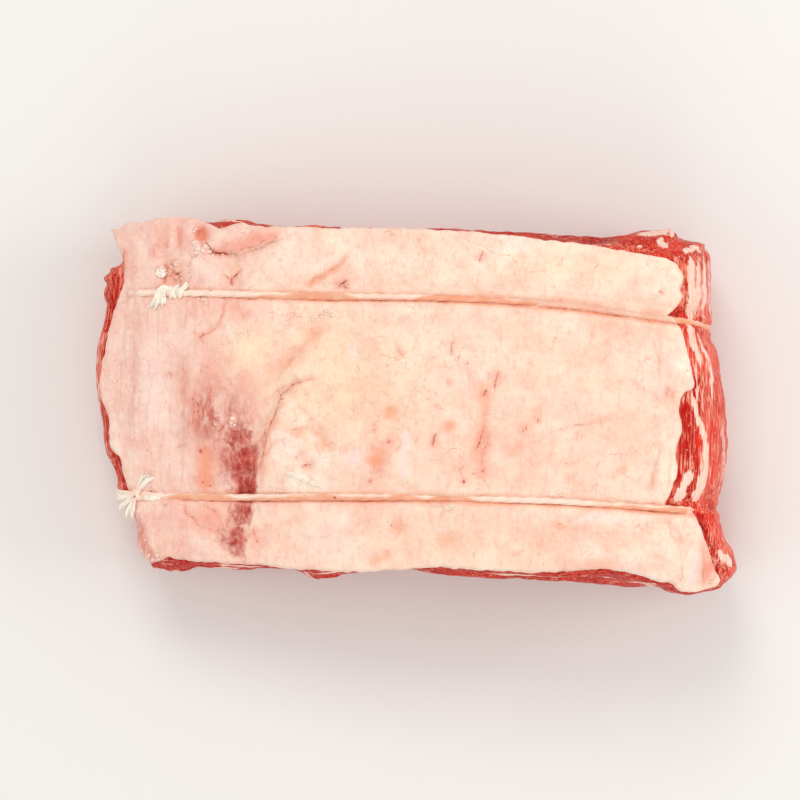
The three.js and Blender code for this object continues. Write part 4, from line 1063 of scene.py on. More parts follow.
planMarks = [  # on the upper wall, seen from above
    ("deep", 3.0, 1, 0, [(-98, 80), (-88, 82.6), (-80, 83), (-68, 81)]),
    ("salmon", 1.6, 0.9, 0, [(-84, 83.6), (-70, 82.4), (-56, 79.8), (-40, 79)]),
    ("deep", 3.2, 1, -0.3, [(40, 76), (60, 73.5), (79, 70.5), (87.5, 71), (93.5, 71), (101, 70.5)]),
    ("seam", 1.0, 0.6, 0, [(94.5, 70.5), (98, 70.5)]),
    ("deep", 1.0, 0.8, -0.2, [(100.5, 75), (106.5, 77)]),
    ("seam", 1.1, 0.9, 0.3, [(96, 75.2), (101, 76), (106, 76.6), (113.5, 76.2)]),
    ("salmon", 1.4, 0.9, 0, [(76, 70.8), (88, 70), (96, 68.6), (102, 67)]),
    ("shade", 5.0, 0.42, 0, [(16, 78), (60, 74.6), (86, 73.2), (97, 73.6)]),
    ("seam", 1.4, 0.9, 0.5, [(106, 75), (109, 76.5), (111.8, 76.4), (110.8, 73.8)]),
    ("deep", 0.9, 0.9, -0.3, [(102.5, 74), (106.5, 73.5), (109.5, 72.5)]),
    ("seam", 3.0, 1, 0.4, [(104.4, 73.6), (106.4, 71.6), (108.8, 68.8)]),
    ("bright", 3.6, 1, 0, [(111.5, 72), (112.5, 69.5), (115, 67.5)]),
    ("seam", 1.0, 0.8, 0.4, [(114, 67.4), (117, 67.5), (121, 68.5), (125, 68)]),
    ("deep", 0.7, 0.8, -0.3, [(115, 70.5), (118, 70), (121.5, 69)]),
    ("salmon", 1.8, 0.8, 0, [(119, 70.5), (123, 70), (127, 69)]),
    ("deep", 0.8, 0.8, -0.4, [(115, 65.8), (119.5, 65.8), (125.5, 66.2)]),
    ("bright", 0.8, 0.7, 0, [(101, 65.5), (105, 66), (108.5, 65.5)]),
    ("salmon", 5.0, 0.95, 0, [(113, 65), (114.5, 60), (115, 54), (114.8, 46), (113.8, 40)]),  # upper block
    ("deep", 1.0, 0.9, -0.4, [(116.4, 65), (116, 54), (115.4, 47), (114.4, 40)]),
    ("deep", 1.2, 0.9, -0.3, [(113, 51), (114.5, 49.5)]),
    ("deep", 2.8, 0.9, -0.4, [(110.5, 40), (112.5, 41), (114, 43)]),
    ("seam", 2.2, 0.95, 0.5, [(118.2, 67), (118.4, 56), (118.9, 48), (117.6, 38), (116.6, 34)]),
    ("bright", 0.9, 0.9, -0.3, [(120.6, 66), (120.8, 54), (120.4, 44), (119.4, 36)]),
    ("salmon", 2.6, 1, 0, [(122.8, 66), (123, 55), (122.4, 45), (121.4, 36)]),
    ("seam", 1.3, 0.85, 0.3, [(122.4, 65), (122.4, 54), (121.4, 45), (120.6, 38)]),
    ("bright", 1.4, 0.9, -0.2, [(124.2, 62), (124.4, 50), (123.4, 38)]),
    ("seam", 1.0, 0.8, 0.3, [(125.8, 66), (126.4, 55), (125.6, 44), (125.2, 37)]),
    ("bright", 1.6, 0.8, 0, [(128, 64), (127.5, 54.5), (127, 42)]),
    # painted highlight: a pale line along the chine's outer edge
    ("pale", 1.4, 0.9, 0.2, [(129, 67), (129.8, 56), (130.2, 46), (131.5, 36)]),
    ("pale", 0.4, 1, 0.3, [(127.5, 44.4), (127.8, 46.2), (128.6, 47.8)]),  # a shred
    ("deep", 1.6, 0.7, -0.2, [(121.5, 37), (124.5, 39)]),
    ("bright", 3.6, 0.8, 0, [(113, 34.5), (116, 26.5), (118.5, 19), (120, 11)]),  # middle block
    ("seam", 1.3, 0.95, 0.4, [(115.8, 37), (117, 33.8), (119, 28.6), (121.6, 22.8), (123.6, 17.6)]),
    ("seam", 0.8, 0.8, 0.2, [(121.6, 31), (124.3, 25.3), (127.6, 19.9), (128.9, 11), (129, 2)]),
    ("salmon", 6.0, 0.8, 0, [(121.5, 24), (123, 14), (123.5, 4)]),
    ("pale", 1.0, 0.7, 0, [(121, 18), (121.6, 10), (121.2, 2)]),
    ("bright", 3.0, 0.7, 0, [(127.5, 27), (131, 15.5), (133.5, 4.5)]),
    ("deep", 1.2, 0.9, -0.6, [(119, 8), (119, 3.5)]),
    ("seam", 1.5, 1, 0.4, [(118.6, 6), (119.4, 1.3), (121.1, -4.1), (123.8, -10.6)]),
    ("seam", 1.8, 1, 0.5, [(121.6, -5.6), (123.8, -10.6), (125.4, -18.3), (124.6, -26), (123.4, -33.5), (118.6, -42)]),
    ("seam", 3.0, 1, 0.5, [(124.4, -22), (123.8, -30), (121.6, -37), (118, -43)]),
    ("deep", 6.4, 0.9, 0, [(115, 3.5), (115.6, -3), (116.5, -10), (117.2, -17.5), (115.6, -26)]),
    ("bright", 3.0, 0.9, 0, [(121.4, -11.5), (122.2, -19)]),
    ("deep", 2.6, 1, 0, [(113.5, -27), (111.5, -33), (108.5, -41)]),
    ("seam", 2.6, 1, 0.5, [(118.6, -27), (117, -31.5), (114.3, -36.8), (111.2, -42.4)]),
    ("deep", 1.0, 0.9, -0.3, [(121, -24.5), (119.5, -31), (116.4, -39), (115, -43)]),
    ("bright", 4.2, 0.85, 0, [(128.4, -4), (130, -14), (129.6, -28), (127.6, -41)]),
    ("salmon", 1.6, 0.8, 0, [(131.4, 0), (132.4, -14), (131.6, -30), (129.6, -41)]),
    ("pale", 1.4, 0.8, 0.2, [(134, -6), (136, -17.5), (136.3, -29), (134, -38)]),
    ("deep", 4.6, 0.8, 0, [(126, -43.5), (130, -44.5)]),
    ("deep", 3.4, 1, 0, [(120, -46.5), (122.6, -51), (126.4, -57)]),  # lower block
    ("shade", 0.7, 0.55, -0.6, [(121, -47.5), (125.4, -56.4), (128.7, -62.9), (130.9, -67.2)]),
    ("bright", 5.0, 1, 0, [(125.4, -47), (129.4, -53), (132.4, -59), (134.5, -64)]),
    ("salmon", 1.4, 0.7, 0, [(126, -50), (129.5, -56), (132, -61)]),
    ("salmon", 2.6, 0.9, 0, [(134.5, -62.5), (138.6, -66)]),
    ("seam", 1.6, 0.9, 0.6, [(131.6, -63.4), (133.5, -66), (134.6, -70)]),
    ("seam", 2.2, 1, 0.9, [(134.6, -66.2), (137.4, -68.6), (139.6, -71.4)]),
    ("deep", 1.6, 1, -0.6, [(136, -66), (139.6, -69), (142.4, -71.6)]),
    ("bright", 2.4, 0.95, 0, [(137, -73.5), (141.5, -74)]),
    ("deep", 4.6, 1, -0.3, [(-128, -46), (-134, -30), (-140, -14), (-141.5, 8), (-140, 30), (-136, 50), (-135, 62)]),
    ("salmon", 0.8, 0.8, 0.3, [(-134, -36), (-141, -16), (-144, 8), (-143, 28), (-140, 48), (-140, 58)]),
    ("pale", 0.6, 0.6, 0.2, [(-128, -52), (-137.5, -32), (-144, -8), (-145.8, 14), (-143.5, 36), (-142, 50)]),
]
chineMarks = [  # on the chine side below that, in Y and Z
    ("seam", 3.0, 1, 0.4, [(-74, 33), (-52, 40), (-20, 35), (12, 38), (34, 34)]),
    ("seam", 1.6, 0.8, 0.2, [(4, 38), (22, 46), (44, 49), (66, 44)]),
    ("seam", 1.8, 0.9, 0.3, [(-70, 13), (-50, 17), (-18, 12), (8, 15)]),
    ("seam", 1.3, 0.8, 0.2, [(-6, 13), (16, 20), (44, 17), (68, 22)]),
    ("seam", 1.0, 0.7, 0.2, [(-60, 52), (-30, 57), (0, 54), (26, 58)]),
    ("seam", 1.0, 0.7, 0.2, [(-40, 26), (-20, 24), (6, 27)]),
    ("pale", 1.6, 0.6, 0, [(-72, 5), (-20, 4), (30, 6), (70, 4)]),
    ("deep", 6.0, 0.7, 0, [(-70, 24), (-30, 25), (10, 27), (60, 25)]),
    ("salmon", 4.0, 0.6, 0, [(-70, 46), (-20, 44), (20, 46), (60, 46)]),
]
tailMarks = [  # on the tail side, in Y and Z
    ("seam", 2.2, 1, 0.4, [(-66, 31), (-40, 34), (0, 31), (26, 34)]),
    ("seam", 1.4, 0.8, 0.3, [(12, 32), (40, 37), (72, 33)]),
    ("seam", 1.4, 0.8, 0.3, [(-66, 14), (-30, 12), (10, 16)]),
    ("seam", 1.0, 0.7, 0.2, [(-10, 14), (24, 9), (70, 14)]),
    ("deep", 5.0, 0.7, 0, [(-60, 23), (0, 24), (60, 23)]),
]
faceMarks = [  # on both cut faces, in X and Z
    ("seam", 3.6, 1, -0.5, [(-138, 35), (-112, 42), (-86, 47), (-60, 50)]),  # under the tail's fat
    ("seam", 2.4, 1, -0.4, [(-72, 48), (-48, 50), (-34, 57), (-22, 66), (-14, 72)]),
    ("seam", 1.6, 0.9, -0.3, [(-132, 24), (-108, 29), (-84, 28), (-68, 34), (-60, 44)]),
    ("seam", 2.0, 0.9, -0.4, [(-134, 12), (-108, 10), (-84, 14), (-70, 20), (-66, 30)]),
    ("seam", 1.0, 0.8, -0.2, [(-100, 12), (-92, 20), (-90, 28)]),
    ("seam", 3.4, 1, -0.4, [(-8, 8), (-12, 20), (-14, 34), (-10, 46), (4, 56)]),  # tail side of the eye
    ("seam", 2.6, 1, -0.4, [(-2, 52), (18, 62), (44, 66), (70, 66), (92, 60)]),  # between eye and cap
    ("seam", 1.8, 0.9, -0.3, [(-14, 34), (-30, 30), (-46, 36), (-58, 44)]),
    ("seam", 1.2, 0.8, -0.2, [(-56, 8), (-46, 18), (-42, 32)]),
    ("seam", 2.8, 0.9, -0.3, [(86, 62), (100, 54), (110, 42), (114, 26), (110, 10)]),  # chine side of the eye
    ("seam", 1.4, 0.8, -0.2, [(112, 34), (124, 40), (134, 44)]),
    ("seam", 1.2, 0.8, -0.2, [(98, 56), (104, 66), (104, 74)]),
    ("seam", 0.9, 0.7, -0.1, [(20, 20), (34, 26), (52, 24), (66, 30)]),
    ("seam", 0.8, 0.7, -0.1, [(30, 46), (48, 42), (62, 46), (80, 42)]),
    ("seam", 0.8, 0.7, -0.1, [(46, 12), (60, 16), (74, 13), (90, 20)]),
    ("seam", 0.7, 0.6, 0, [(-118, 20), (-104, 19), (-92, 21)]),
    ("seam", 0.7, 0.6, 0, [(-44, 60), (-30, 66), (-10, 66)]),
    ("pale", 2.2, 0.7, 0, [(-60, 3), (0, 3.5), (60, 3), (110, 4.5)]),
]
leanKinds = ["seam", "deep", "bright", "salmon", "pale", "shade"]
leanPatch = planPatch(leanOutline, lean["edgeRough"], 51)
plainFatPatch = planPatch(fatOutline)
plainLeanPatch = planPatch(leanOutline)


def wallPoints(u, v, share, outer=leanPatch, inner=plainFatPatch, drop=None):
    # points of the lean's wall: out from the base to the bulge, then in under the fat cap's edge
    bulge = outer(u, v)
    tuck = roast["tuck"] + (0.01 * chineShare(u) if drop is None else np.zeros(np.shape(u)))
    brow = inner(u, v) * tuck[..., None]
    browHeight = topHeight(brow[..., 0], brow[..., 1]) - (rimDepth(u) + 0.2 if drop is None else drop)
    share = np.asarray(share, float)
    low = share < roast["wallTurn"]
    angle = np.where(low, share / roast["wallTurn"], (share - roast["wallTurn"]) / (1 - roast["wallTurn"])) * np.pi / 2
    grow = roast["baseShare"] + (1 - roast["baseShare"]) * np.sin(angle)
    inwards = (1 - np.cos(angle))[..., None]
    plan = np.where(low[..., None], bulge * grow[..., None], bulge * (1 - inwards) + brow * inwards)
    rise = np.sin(angle)
    z = np.where(low, roast["bellyHeight"] * (1 - np.cos(angle)),
                 roast["bellyHeight"] + (browHeight - roast["bellyHeight"]) * rise)
    return np.concatenate([plan, z[..., None]], -1)


def ovalAway(x, z, oval):
    (cx, cz), (rx, rz), rise = oval
    return np.hypot((x - cx) / rx, (z - cz) / rz)


def buildLean(material):
    cols, rows, step, roofStep = lean["columns"], lean["rows"], 2, lean["roofStep"]
    i, j = borderWalk(cols, rows)
    count = len(i)
    u, v = crowded(i / cols, lean["crowding"]), crowded(j / rows, lean["crowding"])
    shares = np.linspace(0, 1, lean["wallRows"] + 1)
    uu, ss = np.meshgrid(u, shares)
    vv, _ = np.meshgrid(v, shares)
    wall = wallPoints(uu, vv, ss)
    x, y, z = wall[..., 0].copy(), wall[..., 1].copy(), wall[..., 2].copy()
    fade = np.sin(np.pi * ss)
    onFace = np.broadcast_to((j == 0) | (j == rows), x.shape)
    onChine = np.broadcast_to(i == cols, x.shape) & ~onFace
    onTail = np.broadcast_to(i == 0, x.shape) & ~onFace
    # muscles stand proud of their seams
    rise = np.zeros(x.shape)
    for oval in lean["muscles"]:
        rise = np.maximum(rise, oval[2] * (1 - smoothShare((ovalAway(x, z, oval) - 1 + lean["muscleRim"]) / lean["muscleRim"])))
    rise = rise * fade * onFace
    masks = {kind: np.zeros(x.shape) for kind in leanKinds}
    lift = np.zeros(x.shape)
    planMask, planLift = markSurface(planMarks, [], x, y, leanKinds, 0.5, 71)
    upperWall = smoothShare((ss - 0.42) / 0.1)
    for marks, here, a, b, seed in ((faceMarks, onFace, x, z, 72), (chineMarks, onChine, y, z, 73), (tailMarks, onTail, y, z, 74)):
        sideMask, sideLift = markSurface(marks, [], a, b, leanKinds, 1.0, seed)
        for kind in leanKinds:
            masks[kind] = np.maximum(masks[kind], sideMask[kind] * here)
        lift += sideLift * here
    redPocket = onFace * (y < 0) * smoothShare((-84 - x) / 10) * upperWall
    masks["seam"] *= 1 - redPocket
    masks["deep"] = np.maximum(masks["deep"], redPocket)
    masks["deep"] = np.maximum(masks["deep"], 0.8 * onFace * (0.85 + 0.3 * softNoise(x, z, 11, 75)))
    farRight = np.maximum(smoothShare((x - 20) / 20), smoothShare((-34 - x) / 8) * smoothShare((x + 104) / 6)) * (y > 0)
    planUse = upperWall * np.where(onFace, np.where(y > 0, farRight, 0.0), 1.0)
    for kind in leanKinds:
        masks[kind] = masks[kind] * (1 - planUse) + planMask[kind] * planUse
    lift = lift * (1 - planUse) + planLift * planUse
    along = np.arange(count) * 0.9
    aa, _ = np.meshgrid(along, shares)
    down = ss * 90
    bumps = 0.5 * softNoise(aa, down, 16, 65) + 0.25 * softNoise(aa, down, 5.5, 66) + 0.12 * softNoise(aa, down * 2.2, 2.6, 67)
    bed = np.zeros(x.shape)  # the meat swells up beside the ties, and over the lower one's end
    for name, tie in ties.items():
        off = y - alongTable(tie["run"], x)
        bed += 0.8 * np.exp(-(((np.abs(off) - 2.7) / 1.2) ** 2)) * (1 - onFace)
        for edge, way, floor, depth in tie["hidden"]:
            near = smoothShare((x - edge) * way / 5) * smoothShare((z - floor) / 12) * (1 - onFace)
            bed += 0.45 * depth * near * np.exp(-((off / 2.6) ** 2))
    push = (rise + lift + bumps + bed) * np.clip(fade * 4, 0, 1)
    tangent = np.roll(wall, -3, 1) - np.roll(wall, 3, 1)
    upward = np.gradient(wall, axis=0)
    normal = np.cross(tangent, upward)
    normal /= np.linalg.norm(normal, axis=-1, keepdims=True) + 1e-9
    wall = wall + normal * push[..., None]
    wall[..., 2] = np.maximum(wall[..., 2], 0)
    wall[0, :, 2] = 0
    rings = wall.reshape(-1, 3)
    ringIds = [n * count + np.arange(count) for n in range(len(shares))]
    roofStart = len(rings)

    def insetGrid(every):
        lines = np.linspace(0.012, 0.988, rows // every + 1), np.linspace(0.012, 0.988, cols // every + 1)
        return (g.ravel() for g in np.meshgrid(*lines, indexing="ij"))

    rv, ru = insetGrid(roofStep)
    px, py = (plainFatPatch(ru, rv) * roast["tuck"]).T
    roof = np.stack([px, py, topHeight(px, py) - fatThickness(px, edgeDistance(ru, rv), ru) - 0.3], 1)
    baseStart = roofStart + len(roof)
    rv, ru = insetGrid(step)
    qx, qy = (plainLeanPatch(ru, rv) * roast["baseShare"]).T
    base = np.stack([qx, qy, undersideRelief(qx, qy)], 1)
    points = np.vstack([rings, roof, base])
    faces = [ringQuads(low, high) for low, high in zip(ringIds, ringIds[1:])]
    faces += [*capFaces(ringIds[-1], cols, rows, roofStep, roofStart, True)]
    faces += [*capFaces(ringIds[0], cols, rows, step, baseStart, False)]
    extra = len(points) - len(rings)
    masks["cut"] = onFace * 1.0
    full = {kind: np.r_[np.clip(mask, 0, 1).ravel(), np.zeros(extra)] for kind, mask in masks.items()}
    full["pale"][baseStart:] = 0.5 + 0.4 * softNoise(qx, qy, 18, 91)
    tints = {
        "tintFlesh": [full["seam"], full["deep"], full["bright"]],
        "tintSkin": [full["salmon"], full["pale"], full["shade"]],
        "tintCut": [full["cut"], full["cut"] * 0, full["cut"] * 0],
    }
    return makePiece("leanMeat", points, faces, material, tints)


def undersideRelief(x, y):
    # the boned side: flat, with shallow channels where the ribs lay and a bed for each tie
    ribs = 0.9 * np.clip(np.cos(2 * np.pi * (y + 0.12 * x) / 38), 0, 1) ** 3
    z = ribs * smoothShare((x + 90) / 40) * smoothShare((118 - x) / 20)
    for tie in ties.values():
        off = y - alongTable(tie["run"], x)
        z = np.maximum(z, 2.9 * np.exp(-((off / 1.7) ** 2)))
    return z


def makeLeanMaterial():
    material, tree, shader, place = startMaterial("redLean")
    flesh, skin = readTints(tree, "tintFlesh"), readTints(tree, "tintSkin")
    cut = readTints(tree, "tintCut")[0]
    along = calc(tree, "SUBTRACT", 1.0, cut)  # walls that run with the grain
    colour = {name: linear(*value) for name, value in lean["tints"].items()}

    def streaks(across, along, low, high, warp=0.7):
        return useGroup(tree, fibreGroup, Vector=place, Across=across, Along=along, Warp=warp, Low=low, High=high)

    def washed(mask, noise, low=0.34, high=0.62, spreadBy=0.5):
        # a painted mask whose edge breaks up along the grain
        shifted = calc(tree, "ADD", mask, calc(tree, "MULTIPLY", calc(tree, "SUBTRACT", noise, 0.5), spreadBy))
        return spread(tree, shifted, low, high)

    broad = useGroup(tree, mottleGroup, Vector=place, Scale=42.0, Detail=3.0, Warp=0.8, Low=0.36, High=0.62)
    fine = streaks(1100.0, 95.0, 0.44, 0.62)
    middle = streaks(480.0, 50.0, 0.4, 0.62)
    coarse = streaks(210.0, 26.0, 0.5, 0.62)
    base = blend(tree, broad, linear(*lean["ground"]), linear(*lean["dark"]))
    base = blend(tree, calc(tree, "MULTIPLY", coarse, calc(tree, "MULTIPLY", along, 0.45)), base, colour["salmon"])
    base = blend(tree, calc(tree, "MULTIPLY", fine, spread(tree, cut, 0.0, 1.0, 0.5, 0.22)), base, linear(*lean["fibre"]))
    through = spread(tree, fine, 0.0, 1.0, 0.95, 0.5)  # fibres show through the reds
    base = blend(tree, calc(tree, "MULTIPLY", washed(flesh[1], middle), through), base, colour["deep"])
    base = blend(tree, calc(tree, "MULTIPLY", washed(flesh[2], middle), calc(tree, "MULTIPLY", through, 0.8)), base, colour["bright"])
    salmon = calc(tree, "MULTIPLY", washed(skin[0], fine, 0.2, 0.9, 1.0), 0.9)
    base = blend(tree, salmon, base, colour["salmon"])
    paleStreak = calc(tree, "MULTIPLY", calc(tree, "MULTIPLY", fine, middle), calc(tree, "SUBTRACT", 0.85, calc(tree, "MULTIPLY", flesh[1], 0.6), True))
    base = blend(tree, calc(tree, "MULTIPLY", paleStreak, along), base, linear(*lean["fleck"]))
    flecks = useGroup(tree, mottleGroup, Vector=place, Scale=560.0, Detail=1.0, Warp=0.3, Low=0.66, High=0.74)
    base = blend(tree, calc(tree, "MULTIPLY", flecks, 0.45), base, linear(*lean["fleck"]))
    # cut across the grain: bundles with thin pale borders, and white marbling
    bundles = useGroup(tree, hairGroup, Vector=place, Scale=230.0, Width=0.12, Warp=0.004, Amount=0.62)
    base = blend(tree, calc(tree, "MULTIPLY", calc(tree, "MULTIPLY", bundles, cut), 0.3), base, linear(*lean["fibre"]))
    webs = useGroup(tree, hairGroup, Vector=place, Scale=62.0, Width=0.075, Warp=0.02, Amount=0.5)
    blots = useGroup(tree, mottleGroup, Vector=place, Scale=190.0, Detail=4.0, Warp=1.2, Low=0.62, High=0.7)
    marbling = calc(tree, "MAXIMUM", calc(tree, "MULTIPLY", webs, 0.6), calc(tree, "MULTIPLY", blots, 0.6))
    base = blend(tree, calc(tree, "MULTIPLY", marbling, cut), base, linear(*lean["marble"]))
    base = blend(tree, calc(tree, "MULTIPLY", washed(skin[1], fine, 0.3, 0.8), 0.9), base, colour["pale"])
    seamColour = blend(tree, calc(tree, "MULTIPLY", fine, 0.4), colour["seam"], linear(*lean["seamShade"]))
    ragged = useGroup(tree, mottleGroup, Vector=place, Scale=260.0, Detail=1.6, Warp=0.8, Low=0.25, High=0.75)
    feather = blend(tree, cut, streaks(1100.0, 46.0, 0.34, 0.66, 0.3), ragged)
    base = blend(tree, washed(flesh[0], feather, 0.34, 0.62, 0.5), base, seamColour)
    base = blend(tree, washed(skin[2], fine, 0.3, 0.7), base, colour["shade"])
    tree.links.new(base, shader.inputs["Base Color"])
    film = useGroup(tree, filmGroup, Vector=place, Scale=180.0, Wet=0.24, Dry=0.5)
    tree.links.new(film, shader.inputs["Roughness"])
    grain = useGroup(tree, grainGroup, Vector=place, Fine=1100.0, Coarse=300.0, Share=0.6)
    fibreHeight = calc(tree, "ADD", calc(tree, "MULTIPLY", fine, 0.6), grain)
    bump = put(tree, "Bump", {"Strength": 0.5, "Distance": 0.0007, "Height": fibreHeight})
    tree.links.new(bump.outputs[0], shader.inputs["Normal"])
    shader.inputs["Subsurface Weight"].default_value = 0.12
    shader.inputs["Subsurface Radius"].default_value = (1.0, 0.25, 0.15)
    shader.inputs["Subsurface Scale"].default_value = 0.002
    shader.inputs["Specular IOR Level"].default_value = 0.025
    return material


twine = {
    "radius": 1.3, "sink": 0.9, "lift": 0.05, "step": 0.75, "sides": 20, "wide": 1.14,
    "strands": 4, "strandDepth": 0.12, "pitch": 26,  # one full twist in this length
    "sectionCentre": (0, 40),
    # the stain colour also paints the shade on the twine's lower side
    "cotton": (255, 240, 222), "shadow": (234, 192, 164), "stainAndShade": (240, 160, 120), "pink": (251, 206, 186),
    "fray": (255, 246, 231),
}
# Knots: wraps are place along X, radius and tilt; tufts are root, tip, their widths and yarns.
knots = {
    "upper": {
        "wraps": [(-110.2, 1.5, 0.5), (-108.2, 1.6, -0.4), (-106.2, 1.5, 0.3)],
        "tufts": [
            ((-116.0, 50.8), (-118.0, 43.4), 1.6, 3.2, 12), ((-113.4, 53.0), (-114.1, 43.8), 2.4, 3.4, 14),
            ((-105.4, 51.2), (-102.6, 54.0), 1.0, 1.7, 7), ((-113.2, 57.4), (-116.0, 60.0), 1.2, 3.4, 10),
        ],
        "crossing": [(-115.8, 50.9), (-113.4, 52.6), (-110.6, 51.6)],
        "wads": [  # wads of cotton: place, size, how long and its turn
            ((-113.6, 51.0), 1.7, 1.2, 1.4), ((-110.4, 51.6), 1.6, 1.3, 0.3), ((-107.6, 51.9), 1.5, 1.2, 0.6),
            ((-105.6, 50.6), 1.5, 1.2, 0.1), ((-104.4, 51.6), 1.0, 1.4, 0.7), ((-115.9, 60.2), 0.8, 1.1, 0.2),
            ((-109.2, 50.0), 1.4, 1.3, 0.0), ((-107.2, 49.8), 1.3, 1.2, 0.2),
            ((-114.4, 60.8), 0.7, 1.2, 1.0), ((-114.8, 58.8), 0.8, 1.1, 0.5), ((-113.5, 59.5), 0.6, 1.1, 0.1),
            ((-116.4, 49.2), 1.2, 1.3, 1.2),
        ],
        "pinkness": 0.22,
    },
    "lower": {
        "wraps": [(-126.4, 1.7, 0.7), (-124.6, 1.6, -0.5)],
        "tufts": [
            ((-127.6, -40), (-136.0, -40.4), 1.8, 3.4, 15), ((-127.8, -41), (-134.0, -45.8), 1.2, 1.8, 8),
            ((-126.8, -41), (-129.6, -50.3), 1.8, 3.9, 18), ((-125.8, -38.0), (-119.9, -31.0), 1.2, 6.2, 16),
        ],
        "crossing": [(-129.2, -41.4), (-127, -39.4), (-125, -37.6)],
        "wads": [
            ((-127.4, -39.6), 1.5, 1.3, 0.8), ((-124.8, -38.2), 1.3, 1.2, 0.5), ((-123.4, -40.8), 1.4, 1.3, 0.1),
            ((-121.0, -41.0), 1.4, 1.4, -0.2), ((-118.4, -41.3), 1.3, 1.6, 0.1), ((-116.2, -40.9), 1.0, 1.6, -0.1),
            ((-129.2, -41.8), 1.3, 1.3, 1.0), ((-122.6, -39.2), 1.0, 1.3, 0.4),
        ],
        "pinkness": 0.95,
    },
}


def borderAtY(patch, u, y):
    shares = np.linspace(0, 1, 1200)
    curve = patch(np.full(1200, float(u)), shares)
    return np.interp(y, curve[:, 1], shares) if np.all(np.diff(curve[:, 1]) > 0) else shares[np.argmin(np.abs(curve[:, 1] - y))]


def convexHull(points):
    pts = sorted(map(tuple, points))

    def chain(run):
        kept = []
        for p in run:
            while len(kept) > 1 and (kept[-1][0] - kept[-2][0]) * (p[1] - kept[-2][1]) <= (kept[-1][1] - kept[-2][1]) * (p[0] - kept[-2][0]):
                kept.pop()
            kept.append(p)
        return kept[:-1]

    return chain(pts) + chain(pts[::-1])


def tieRoute(tie):
    # the taut twine takes the shortest way round the section
    outline, fatEnds = [], []
    for side, edgeX in ((0, -140), (1, 132)):
        y = float(alongTable(tie["run"], edgeX))
        shares = np.linspace(0, 1, 41)
        v = borderAtY(plainLeanPatch, side, y)
        ring = wallPoints(np.full(41, float(side)), np.full(41, v), shares, plainLeanPatch, plainFatPatch, 4.2)
        outline += [(p[0], p[2]) for p in ring]
        fatEnds.append(plainFatPatch(side, borderAtY(plainFatPatch, side, y))[0])
    for x in np.arange(fatEnds[0] + fatCap["edgeRadius"], fatEnds[1] - fatCap["edgeRadius"], 3):
        outline.append((x, float(freeHeight(x, alongTable(tie["run"], x)) - creaseDepth(tie, x))))
    hull = np.array(convexHull(outline))
    outward = hull - np.array(twine["sectionCentre"])
    outward /= np.linalg.norm(outward, axis=1)[:, None]
    loop = hull + outward * (twine["radius"] - twine["sink"])
    for edge, way, floor, depth in tie["hidden"]:
        sink = depth * smoothShare((hull[:, 0] - edge) * way / 5) * smoothShare((hull[:, 1] - floor) / 12)
        loop = loop - outward * sink[:, None]
    height = np.maximum(loop[:, 1], twine["wide"] * twine["radius"] * (1 + twine["strandDepth"]) + twine["lift"])
    route = np.column_stack([loop[:, 0], alongTable(tie["run"], hull[:, 0]), height])
    rough = smoothCurve(route, closed=True)
    route = evenly(rough, np.linspace(0, 1, 97))[:-1]
    return smoothCurve(route, closed=True)[:-1]


def sweep(path, radius, sides, closed=False, axis=(0, 1, 0), strands=0, pitch=8.0, strandDepth=0.0, wide=1.0):
    # a tube along the path; with strands its section is lobed and turns along it
    path = np.asarray(path, float)
    count = len(path)
    tangent = np.roll(path, -1, 0) - np.roll(path, 1, 0) if closed else np.gradient(path, axis=0)
    tangent /= np.linalg.norm(tangent, axis=1)[:, None] + 1e-12
    up = np.array(axis, float) if closed else np.array([0.13, 0.31, 0.94])
    sideways = np.cross(tangent, up)
    sideways /= np.linalg.norm(sideways, axis=1)[:, None] + 1e-12
    upward = np.cross(sideways, tangent)
    steps = np.r_[0, np.cumsum(np.linalg.norm(np.diff(path, axis=0), axis=1))]
    total = steps[-1] + (np.linalg.norm(path[0] - path[-1]) if closed else 0)
    turns = max(1, round(total / pitch)) / total if closed else 1 / pitch
    phi = np.linspace(0, 2 * np.pi, sides, endpoint=False)
    twist = 2 * np.pi * turns * steps[:, None]
    radius = np.broadcast_to(np.asarray(radius, float), (count,))[:, None]
    lobes = radius * (1 + strandDepth * np.cos(strands * (phi[None] - twist)))
    ring = lobes[..., None] * (np.cos(phi)[None, :, None] * sideways[:, None] + wide * np.sin(phi)[None, :, None] * upward[:, None])
    points = (path[:, None] + ring).reshape(-1, 3)
    here = np.arange(count if closed else count - 1)[:, None] * sides
    there = ((np.arange(len(here)) + 1) % count)[:, None] * sides
    k, right = np.arange(sides)[None], np.roll(np.arange(sides), -1)[None]
    quads = np.stack([here + k, here + right, there + right, there + k], -1).reshape(-1, 4)
    faces = [tuple(q) for q in quads.tolist()]
    if not closed:
        faces.append(tuple(range(sides))[::-1])
        faces.append(tuple((count - 1) * sides + side for side in range(sides)))
    return points, faces


def tuftYarn(rng, root, tip, size, height, blunt=0.85):
    # one loose yarn of a frayed end, lying on the fat
    t = np.linspace(0, 1, 9)
    away = np.array(tip) - np.array(root)
    across = np.array([-away[1], away[0]]) / np.linalg.norm(away)
    wave = rng.uniform(-0.5, 0.5) * np.sin(np.pi * t) + 0.12 * np.sin(rng.uniform(0, 6) + 9 * t)
    plan = np.array(root) + away * t[:, None] + across * wave[:, None]
    ground = topHeight(plan[:, 0], plan[:, 1])
    rest = ground + size + height
    start = float(topHeight(*root)) + twine["radius"] + 0.6
    level = rest + (start - rest[0]) * (1 - t) ** 2 + 0.5 * np.sin(np.pi * t)
    radius = size * (1 - (1 - blunt) * t)
    return sweep(np.column_stack([plan, level]), radius, 5)


